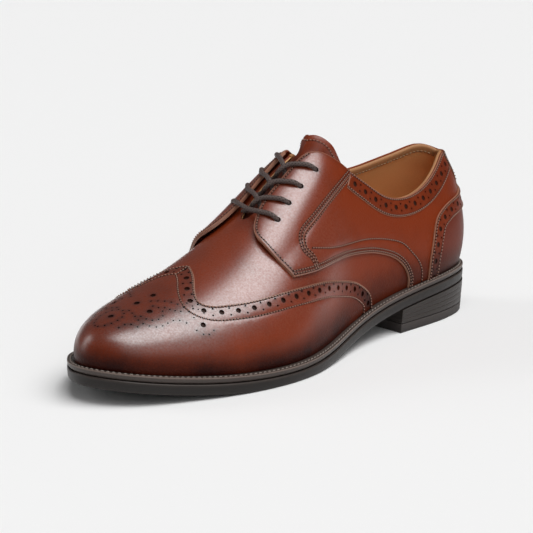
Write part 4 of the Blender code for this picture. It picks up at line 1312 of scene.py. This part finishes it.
# %% Collar binding
# The section's points: metres out from the last and metres up along it.
BINDING = ((-0.0012, -0.0008), (-0.0013, 0.0000), (-0.0018, 0.0005), (-0.0026, 0.0006), (-0.0034, 0.0001),
           (-0.0037, -0.0009), (-0.0037, -0.0030), (-0.0036, -0.0042), (-0.0033, -0.0042),
           (-0.0033, -0.0014), (-0.0026, -0.0004), (-0.0018, -0.0005))


def swept(q, section):
    """Section points carried along a curve on the last, across and up the surface."""
    p = skin(q, 0.0)
    out = facing_out(*q.T)
    along = unit(np.gradient(p, axis=0))
    up = np.cross(along, out)
    up *= np.sign(up[:, 2:3])
    k = np.array(section)
    return p[:, None] + out[:, None] * k[None, :, :1] + up[:, None] * k[None, :, 1:]


binding_grids, pale_seams = [], []
for side in (1, 2):
    line = curve(topline(side), 400)
    line = even(line[line[:, 0] < 0.500], 0.0022)
    line[0, 0] = 0.0
    line = other_side(line) if side == 2 else line
    body = swept(line, BINDING + BINDING[:1])
    middle = np.tile(body[-1].mean(0), (len(body[-1]), 1))
    soft = {"shade": 0.35, "edge": 0.0, "wax": 0.0}
    binding_grids += [(body, soft, side == 1), (np.stack([body[-1], middle]), soft, side == 1)]
    row = swept(line[2:], ((-0.0037, -0.0032),))[:, 0]
    pale_seams.append((row, -facing_out(*line[2:].T)))
binding = shell_object("collar_binding", binding_grids, binding_tan, sharp=60)
dress(binding, "tan_lining", "upper")

# %% [markdown]
# ## Tongue
# The tongue follows the last under the facings. Its free end swells and stands up between them.

# %% Tongue
TONGUE_LIFT, TONGUE_CROWN = 0.0042, 0.0022   # how far the free end stands up, and its middle beyond
TONGUE_OUT = -(OVERLAY + LAYER_GAP + LINED_WALL + 0.0007)


def tongue_height(r, v):
    """Height over the last: it rises towards the free end, r = 0, and away from the sides."""
    loose = 0.05 + 0.12 * smooth((v - 0.70) / 0.2)
    free = (1 - smooth(r / loose)) * smooth((v - 0.70) / 0.15)
    return TONGUE_OUT + (TONGUE_LIFT + TONGUE_CROWN * smooth((v - 0.78) / 0.20)) * free


TONGUE_ROWS = 90
row_number = np.arange(TONGUE_ROWS)[:, None]
r = np.linspace(0, 1, TONGUE_ROWS)[:, None]**1.4
v = np.linspace(TONGUE_EDGE[0][0], 1.0, 36)
k = np.array(TONGUE_EDGE)
free_end = spline(k[:, 0], k[:, 1], v)
q = np.stack([free_end + (TONGUE_FRONT - free_end) * r, v + 0 * r], -1)
high = tongue_height(r, v[None])
edge_round = 0.0004 * (1 - smooth(row_number / 2.5)) + 0 * v
tongue_grids = {"tongue_leather": [], "tongue_lining": []}
for side in (1, 2):
    half = other_side(q) if side == 2 else q
    for name, up_by, down_by in (("tongue_leather", 0.0, 0.0012), ("tongue_lining", 0.00125, 0.0020)):
        face, back = skin(half, high - up_by - edge_round), skin(half, high - down_by)
        # Painted shade: the tongue gets darker beyond its free end, where it lies under the facings and the
        # laces. Its free end's row is painted lighter, partly a highlight on the rounded edge.
        tone = {"shade": np.clip(0.12 + 0.6 * smooth((r - 0.10) / 0.15) + 0 * v, 0, 1), "wax": 0.3,
                "edge": np.clip(1 - row_number / 1.5, 0, 1) + 0 * v}
        flat = {"shade": 0.3, "edge": 0.5, "wax": 0.0}
        tongue_grids[name] += [(face, tone, side == 2), (back, tone, side == 1),
                               (np.stack([face[0], back[0]]), flat, side == 1),
                               (np.stack([face[-1], back[-1]]), flat, side == 2),
                               (np.stack([face[:, 0], back[:, 0]]), flat, side == 1)]
for name, look, slot in (("tongue_leather", cognac, "cognac_leather"), ("tongue_lining", tan, "tan_lining")):
    dress(shell_object(name, tongue_grids[name], look), slot, "tongue")
end_row = np.stack([free_end + 0.012, v], -1)
end_row = np.concatenate([end_row, other_side(end_row)[::-1][1:]])


def tongue_top(row):
    """Height of the tongue's grain side over the last at points near its free end."""
    t = np.minimum(row[:, 0], 2 - row[:, 0])
    start = spline(k[:, 0], k[:, 1], np.clip(row[:, 1], k[0, 0], 1.0))
    return tongue_height(((t - start) / (TONGUE_FRONT - start))[None], row[:, 1][None])[0]


dark_seams.append(on_last(end_row, tongue_top))

# %% [markdown]
# ## Pieces swept round the sole
# The sole's pieces are swept round the outline. Each has a section, given as metres beyond the feather
# line and a height that follows the bottom of the last.

# %% Sole sweeps
SOLE_ROUND = np.unique(np.concatenate([np.linspace(0, 1, 181), 1 - np.geomspace(0.0005, 0.02, 8)]))


def ring(t, beyond, height):
    """Points round the outline at a plan offset, at a height that is worked out from x."""
    p, n = outline(t)
    p = p + n * np.asarray(beyond)[..., None]
    return np.concatenate([p, height(p[..., 0])[..., None]], -1) + SHIFT


def across(rail, height, columns):
    """Grid between a half ring and its other half, at a height worked out from x."""
    w = np.linspace(0, 1, columns + 1)[None, :, None]
    g = rail[0][:, None] * (1 - w) + rail[1][:, None] * w
    return np.concatenate([g[..., :2], height(g[..., :1] - SHIFT[0])], -1)


def sole_under(x):
    """The tread follows the bottom line and is flat where the forefoot stands."""
    return np.maximum(bottom(x) - STACK, 0.0)


def swept_sole(name, section, look, caps, columns=24):
    """Section rows of (beyond the welt or the feather line, height function, edge tone, a painted highlight)
    round the shoe.
    """
    halves = []
    for t in (SOLE_ROUND, 2 - SOLE_ROUND):
        rows = [ring(t, (welt_beyond(t) + off) if from_welt else off + 0 * t, height)
                for from_welt, off, height, _ in section]
        halves.append(np.stack(rows))
    edge_highlights = {"edge": np.array([row[3] for row in section])[:, None]}
    grids = [(halves[0], edge_highlights, False), (halves[1], edge_highlights, True)]
    for i, flip in caps:
        grid = across((halves[0][i], halves[1][i]), section[i][2], columns)
        grids.append((grid, {"edge": 0.0}, flip))
    return shell_object(name, grids, look, sharp=32)


def drop(depth):
    """Height a set depth under the feather line, as a function of x."""
    return lambda x: bottom(x) - depth


# %% [markdown]
# ## Welt
# The welt is the narrow strip that the upper and the sole are both sewn to. It has a small channel for its
# stitches, and rounded edges that catch the light and carry a painted highlight.

# %% Welt
WELT_ROW = -0.0017   # the welt's stitches, in from its edge
# Rows of a section: whether it counts from the welt's edge, metres beyond it, height, edge tone, which paints
# a highlight.
welt_section = [(False, -WELT_RIM, drop(0.0), 0.0), (False, 0.0, drop(0.0), 0.0),
                (True, WELT_ROW - 0.0009, drop(0.0), 0.0), (True, WELT_ROW - 0.0004, drop(0.00025), 0.0),
                (True, WELT_ROW + 0.0004, drop(0.00025), 0.0), (True, WELT_ROW + 0.0009, drop(0.0), 0.1),
                (True, -0.0004, drop(0.00002), 0.2), (True, -0.0001, drop(0.00014), 1.0),
                (True, 0.0, drop(0.00045), 0.6), (True, 0.0, drop(0.0009), 0.0),
                (True, -0.0001, drop(0.0018), 0.0), (True, -0.0004, drop(0.0025), 0.0),
                (True, -0.0011, drop(WELT_THICK), 0.0),
                (False, -WELT_RIM, drop(WELT_THICK), 0.0), (False, -WELT_RIM, drop(0.0), 0.0)]
welt = swept_sole("welt_strip", welt_section, welt_top, ())
dress(welt, "sole_edge", "welt")


# %% [markdown]
# ## Outsole
# The outsole's side is rounded at its top, and a channel for the sole's own seam runs underneath.


# %% Outsole
def side_down(share):
    """Heights between the outsole's top edge and its tread."""
    top = drop(WELT_THICK + SEAT)
    return lambda x: top(x) * (1 - share) + sole_under(x) * share


under = side_down(0.0)
# The edge tones paint a highlight on the rounded top of the outsole's side and a faint one at its foot.
outsole_section = [(False, -WELT_RIM - SEAT, drop(0.0), 0.0), (False, -WELT_RIM - SEAT, under, 0.0),
                   (True, -0.0008, under, 0.0), (True, -0.0003, side_down(0.03), 0.9),
                   (True, 0.0, side_down(0.10), 0.6), (True, 0.0, side_down(0.30), 0.0),
                   (True, -0.0001, side_down(0.60), 0.0), (True, -0.0003, side_down(0.85), 0.0),
                   (True, -0.0006, side_down(0.95), 0.3), (True, -0.0012, side_down(1.0), 0.3),
                   (True, -0.0060, side_down(1.0), 0.0),
                   (True, -0.0064, lambda x: sole_under(x) + 0.0005, 0.0),
                   (True, -0.0070, lambda x: sole_under(x) + 0.0005, 0.0),
                   (True, -0.0074, side_down(1.0), 0.0)]
outsole = swept_sole("sole_leather", outsole_section, sole_edge, ((0, True), (-1, False)))
dress(outsole, "sole_edge", "outsole")


# %% [markdown]
# ## Sock and the welt's seam
# A thin sock covers the insole. The welt's stitches lie in their channel all the way round.

# %% Sock and welt seam
SOCK_IN = OVERLAY + LAYER_GAP + LINED_WALL + 0.0005
sock_section = [(False, -SOCK_IN, lambda x: bottom(x) + SEAT, 0.0),
                (False, -SOCK_IN, lambda x: bottom(x) + SEAT + INSOLE - 0.0006, 0.0),
                (False, -SOCK_IN - 0.0006, lambda x: bottom(x) + SEAT + INSOLE, 0.0)]
sock = swept_sole("sock_lining", sock_section[::-1], tan, ((0, True), (-1, False)))
dress(sock, "tan_lining", "insole")
welt_seams = []
for t in (SOLE_ROUND, 2 - SOLE_ROUND):
    row = ring(t, welt_beyond(t) + WELT_ROW, drop(0.00012))
    welt_seams.append((row, np.tile((0.0, 0.0, 1.0), (len(row), 1))))

# %% [markdown]
# ## Heel
# The heel is a pile of leather lifts with a rubber one under it. A closed outline, round the back and
# across the hollow breast, is repeated at many heights, and steps in a little where two lifts meet.

# %% Heel
LIFTS = 4
LIFT_LINE = 0.00013   # how far the joint between two lifts is drawn in


def heel_outline(inset):
    """Closed plan outline: both sides from the back, then the hollow breast."""
    fine = np.linspace(0.0, 0.45, 900)
    sides = []
    for way in (fine, 2 - fine):
        p, n = outline(way)
        p = p + n * (welt_beyond(way) - inset)[:, None]
        end = np.argmax(p[:, 0] > HEEL_LENGTH)
        p = p[:end + 1]
        p[-1, 0] = HEEL_LENGTH
        s = run_length(p)
        u = np.linspace(0, s[-1], 70)
        sides.append(np.stack([np.interp(u, s, p[:, 0]), np.interp(u, s, p[:, 1])], -1))
    w = np.linspace(-1, 1, 41)[:, None]
    breast = sides[1][-1] * (1 + w) / 2 + sides[0][-1] * (1 - w) / 2
    breast[:, 0] -= BREAST_HOLLOW * (1 - w[:, 0]**2)
    return np.concatenate([sides[0], breast[1:], sides[1][::-1][1:]])


def heel_block(name, levels, look):
    """Outlines at each (inset, height) level, closed with a fan above and below."""
    rows = []
    for inset, height, _ in levels:
        p = heel_outline(inset)
        rows.append(np.concatenate([p, height(p[:, 0])[:, None]], -1) + SHIFT)
    rows = np.stack(rows)
    edge_highlights = {"edge": np.array([tone for _, _, tone in levels])[:, None]}
    grids = [(rows, edge_highlights, False)]
    for i, flip in ((0, True), (-1, False)):
        centre = rows[i].mean(0)
        w = np.linspace(0, 1, 12)[:, None, None]
        fan = rows[i][None] * (1 - w) + centre * w
        fan[..., 2] = levels[i][1](fan[..., 0] - SHIFT[0])
        grids.append((fan, {"edge": 0.0}, flip))
    return shell_object(name, grids, look, sharp=32)


# %% [markdown]
# ## Lifts
# Four leather lifts get smaller on the way down, and the rubber one ends them.


# %% Heel lifts
def seat(x):
    """Height of the heel's top, just under the outsole."""
    return bottom(x) - STACK - SEAT


def between(w):
    """Height at a share w of the way down the pile, as a function of x."""
    return lambda x: seat(x) * (1 - w) + (TOP_LIFT + SEAT) * w


def level(height):
    return lambda x: height + 0 * x


taper = HEEL_TAPER * 0.7   # how far the pile has closed in at its foot
heel_levels = []
# Each lift's rounded shoulders get an edge tone, a painted highlight.
for i in range(LIFTS):
    for share, inset, tone in ((0.0, LIFT_LINE, 0.0), (0.06, 0.0, 0.22), (0.5, -0.00004, 0.0),
                               (0.94, 0.0, 0.22), (1.0, LIFT_LINE, 0.0)):
        w = (i + share) / LIFTS
        heel_levels.append((inset + taper * w, between(w), tone))
stack = heel_block("heel_lifts", heel_levels, heel_edge)
dress(stack, "sole_edge", "heel_stack")
# The rubber lift's rounded edges get an edge tone, a painted highlight.
lift_levels = [(taper + 0.0004, level(TOP_LIFT), 0.0), (taper, level(TOP_LIFT - 0.0004), 0.5),
               (HEEL_TAPER, level(0.0005), 0.0), (HEEL_TAPER + 0.0004, level(0.0), 0.2)]
rubber_lift = heel_block("rubber_lift", lift_levels, rubber)
dress(rubber_lift, "black_rubber", "top_lift")

# %% [markdown]
# ## Laces
# A straight bar runs between the lowest eyelets. Above it each strand comes up in the throat from under
# one facing, crosses to the other side and dives into an eyelet there. The strand to the outer side lies
# on top. The routes have the stops of the CAD's laces, and then go on down through the eyelets.

# %% Laces
LACE_SIDES = 14
LACE_THICK = 0.00138   # a tied lace is pressed a little wider than its core
OVER, UNDER = LACE_RADIUS + SEAT, FACING_RISE + SEAT
BRAID_TURNS, BRAID_STEP = 4, 0.0018   # crossings round the cord, and its repeat along it


def lace_route(stops, count=90):
    """Smooth run through (side, round, up, height over the facing) stops."""
    p = []
    for side, t, v, h in stops:
        q = np.array([t if side > 0 else 2 - t, v])
        p.append(skin(q, h + facing_rise(q)))
    s = run_length(p)
    return spline(s, p, np.linspace(0, s[-1], count))


def lace_tube(name, path, stands_for):
    """Round cord: a circle carried along the path, with its length and turn as its UV map."""
    along = unit(np.gradient(path, axis=0))
    a = unit(np.cross(along, (1.0, 0.0, 0.3)))
    b = np.cross(along, a)
    turn = np.linspace(0, 2 * np.pi, LACE_SIDES, endpoint=False)
    round_it = a[:, None] * np.cos(turn)[:, None] + b[:, None] * np.sin(turn)[:, None]
    tube = path[:, None] + LACE_THICK * round_it
    n = len(path)
    number = np.arange(n * LACE_SIDES).reshape(n, LACE_SIDES)
    nxt = np.roll(number, -1, axis=1)
    quads = np.stack([number[:-1], number[1:], nxt[1:], nxt[:-1]], -1).reshape(-1, 4)
    ends = [number[0].tolist(), number[-1, ::-1].tolist()]
    piece = make_object(name, tube.reshape(-1, 3), quads.tolist() + ends, lace_look, 60)
    s = run_length(path) / BRAID_STEP
    v = np.arange(LACE_SIDES + 1) * BRAID_TURNS / LACE_SIDES
    i, j = np.divmod(np.arange((n - 1) * LACE_SIDES), LACE_SIDES)
    uv = np.stack([np.stack([s[i + di], v[j + dj]], -1) for di, dj in ((0, 0), (1, 0), (1, 1), (0, 1))], 1)
    layer = piece.data.uv_layers.new(name="run")
    flat = np.zeros((len(piece.data.loops), 2), np.float32)
    flat[:len(quads) * 4] = uv.reshape(-1, 2)
    layer.data.foreach_set("uv", flat.ravel())
    print(name, "length (mm)", round(s[-1] * BRAID_STEP / MM, 1))
    dress(piece, "waxed_cord", stands_for)


def into_eyelet(side, t, v, towards):
    """Last stops of a strand that comes from a point: pressed on the facing, then down the eyelet."""
    a, b = towards[0] - t, towards[1] - v
    pressed = OVER * (0.9 if side > 0 else 0.35)
    return [(side, t + a * share, v + b * share, height)
            for share, height in ((0.60, pressed), (0.25, pressed), (0.04, -0.0002), (0.0, -0.0040))]


# %% [markdown]
# ## The strands
# Each strand is a list of stops, given as gaps to the next eyelet, so that all crossings look alike.

# %% Lace strands
rim = (0.625, 0.905)
bar = into_eyelet(1, *EYELETS[0], rim)[::-1] + [(1, *rim, OVER * 0.8), (1, 0.628, 1.0, -0.0004)]
bar += [(-1, 0.617, 0.925, OVER * 0.6)] + into_eyelet(-1, *INNER_EYELETS[0], (0.612, 0.905))
lace_tube("lace_1", lace_route(bar, 120), "lace_bar")
for number in range(2, 5):
    (t, v), far_eyelet = EYELETS[number - 1], INNER_EYELETS[number - 1]
    gap = EYELETS[number - 2][0] - t
    rim = (t + gap * 0.98, 0.928)
    run = [(-1, t + gap * 1.45, 0.93, -UNDER * 1.5), (1, t + gap * 1.55, 0.998, -UNDER * 1.1),
           (1, t + gap * 1.38, 0.966, -OVER * 0.2), (1, *rim, OVER * 0.8)]
    crossing = "lace_cross_%d" % number
    lace_tube("lace_%d_outer" % number, lace_route(run + into_eyelet(1, t, v, rim), 130), crossing)
    rim = (t + gap * 0.32, 0.900)
    run = [(1, t + gap * 1.35, 0.88, -UNDER * 1.4), (1, t + gap * 1.22, 0.925, -UNDER * 1.1),
           (1, t + gap * 1.08, 0.965, -OVER * 0.5), (-1, t + gap * 0.82, 0.975, OVER * 0.1),
           (-1, *rim, OVER * 0.55)]
    lace_tube("lace_%d_inner" % number, lace_route(run + into_eyelet(-1, *far_eyelet, rim), 130), crossing)

# %% [markdown]
# ## Thread and painted shade in holes
# All dark stitches are one object, and so are the pale ones on the lining and the welt's. Between the dark
# ones, small dark discs are painted shade in the needle's holes. At the bottom of each punched hole a dark
# disc is painted shade for the hole's dark inside.

# %% Thread and hole floors
dark_rows = sew("dark_stitching", dark_seams, dark_thread)
dress(dark_rows, "dark_leather", "wing_cap", "quarter_lateral", "quarter_medial")
pale_rows = sew("pale_stitching", pale_seams, pale_thread, pitch=0.0026, length=0.0020)
dress(pale_rows, "tan_lining", "upper")
welt_rows = sew("welt_stitching", welt_seams, welt_thread, pitch=0.0030, length=0.0023, radius=0.00036,
                proud=0.0)
dress(welt_rows, "sole_edge", "welt")
# Dark discs between the stitches are painted shade in the needle's holes.
needle_points, needle_faces = painted_needle_discs(dark_seams, pitch=0.0019, radius=0.00054, proud=0.00006)
needle_shade_piece = make_object("needle_hole_painted_shade", needle_points, needle_faces, needle_shade_look)
dress(needle_shade_piece, "dark_leather", "wing_cap", "quarter_lateral", "quarter_medial")
floor_points, floor_faces, start = [], [], 0
for rings, height in shaded_hole_floors:
    count, sides = rings.shape[:2]
    discs = skin(rings, np.repeat(height[:, None], sides, 1))
    number = start + np.arange(count * sides).reshape(count, sides)
    floor_faces += number.tolist()
    floor_points.append(discs.reshape(-1, 3))
    start += count * sides
# These dark discs are painted shade at the bottom of the punched holes.
hole_shade_look = leather("painted_hole_shade", (0.030, 0.013, 0.009), (0.008, 0.004, 0.003), (0.05, 0.02, 0.01),
                   Specular_IOR_Level=0.1)
hole_shade_piece = make_object("hole_shade_discs", np.concatenate(floor_points), floor_faces, hole_shade_look)
dress(hole_shade_piece, "dark_leather", "wing_cap")
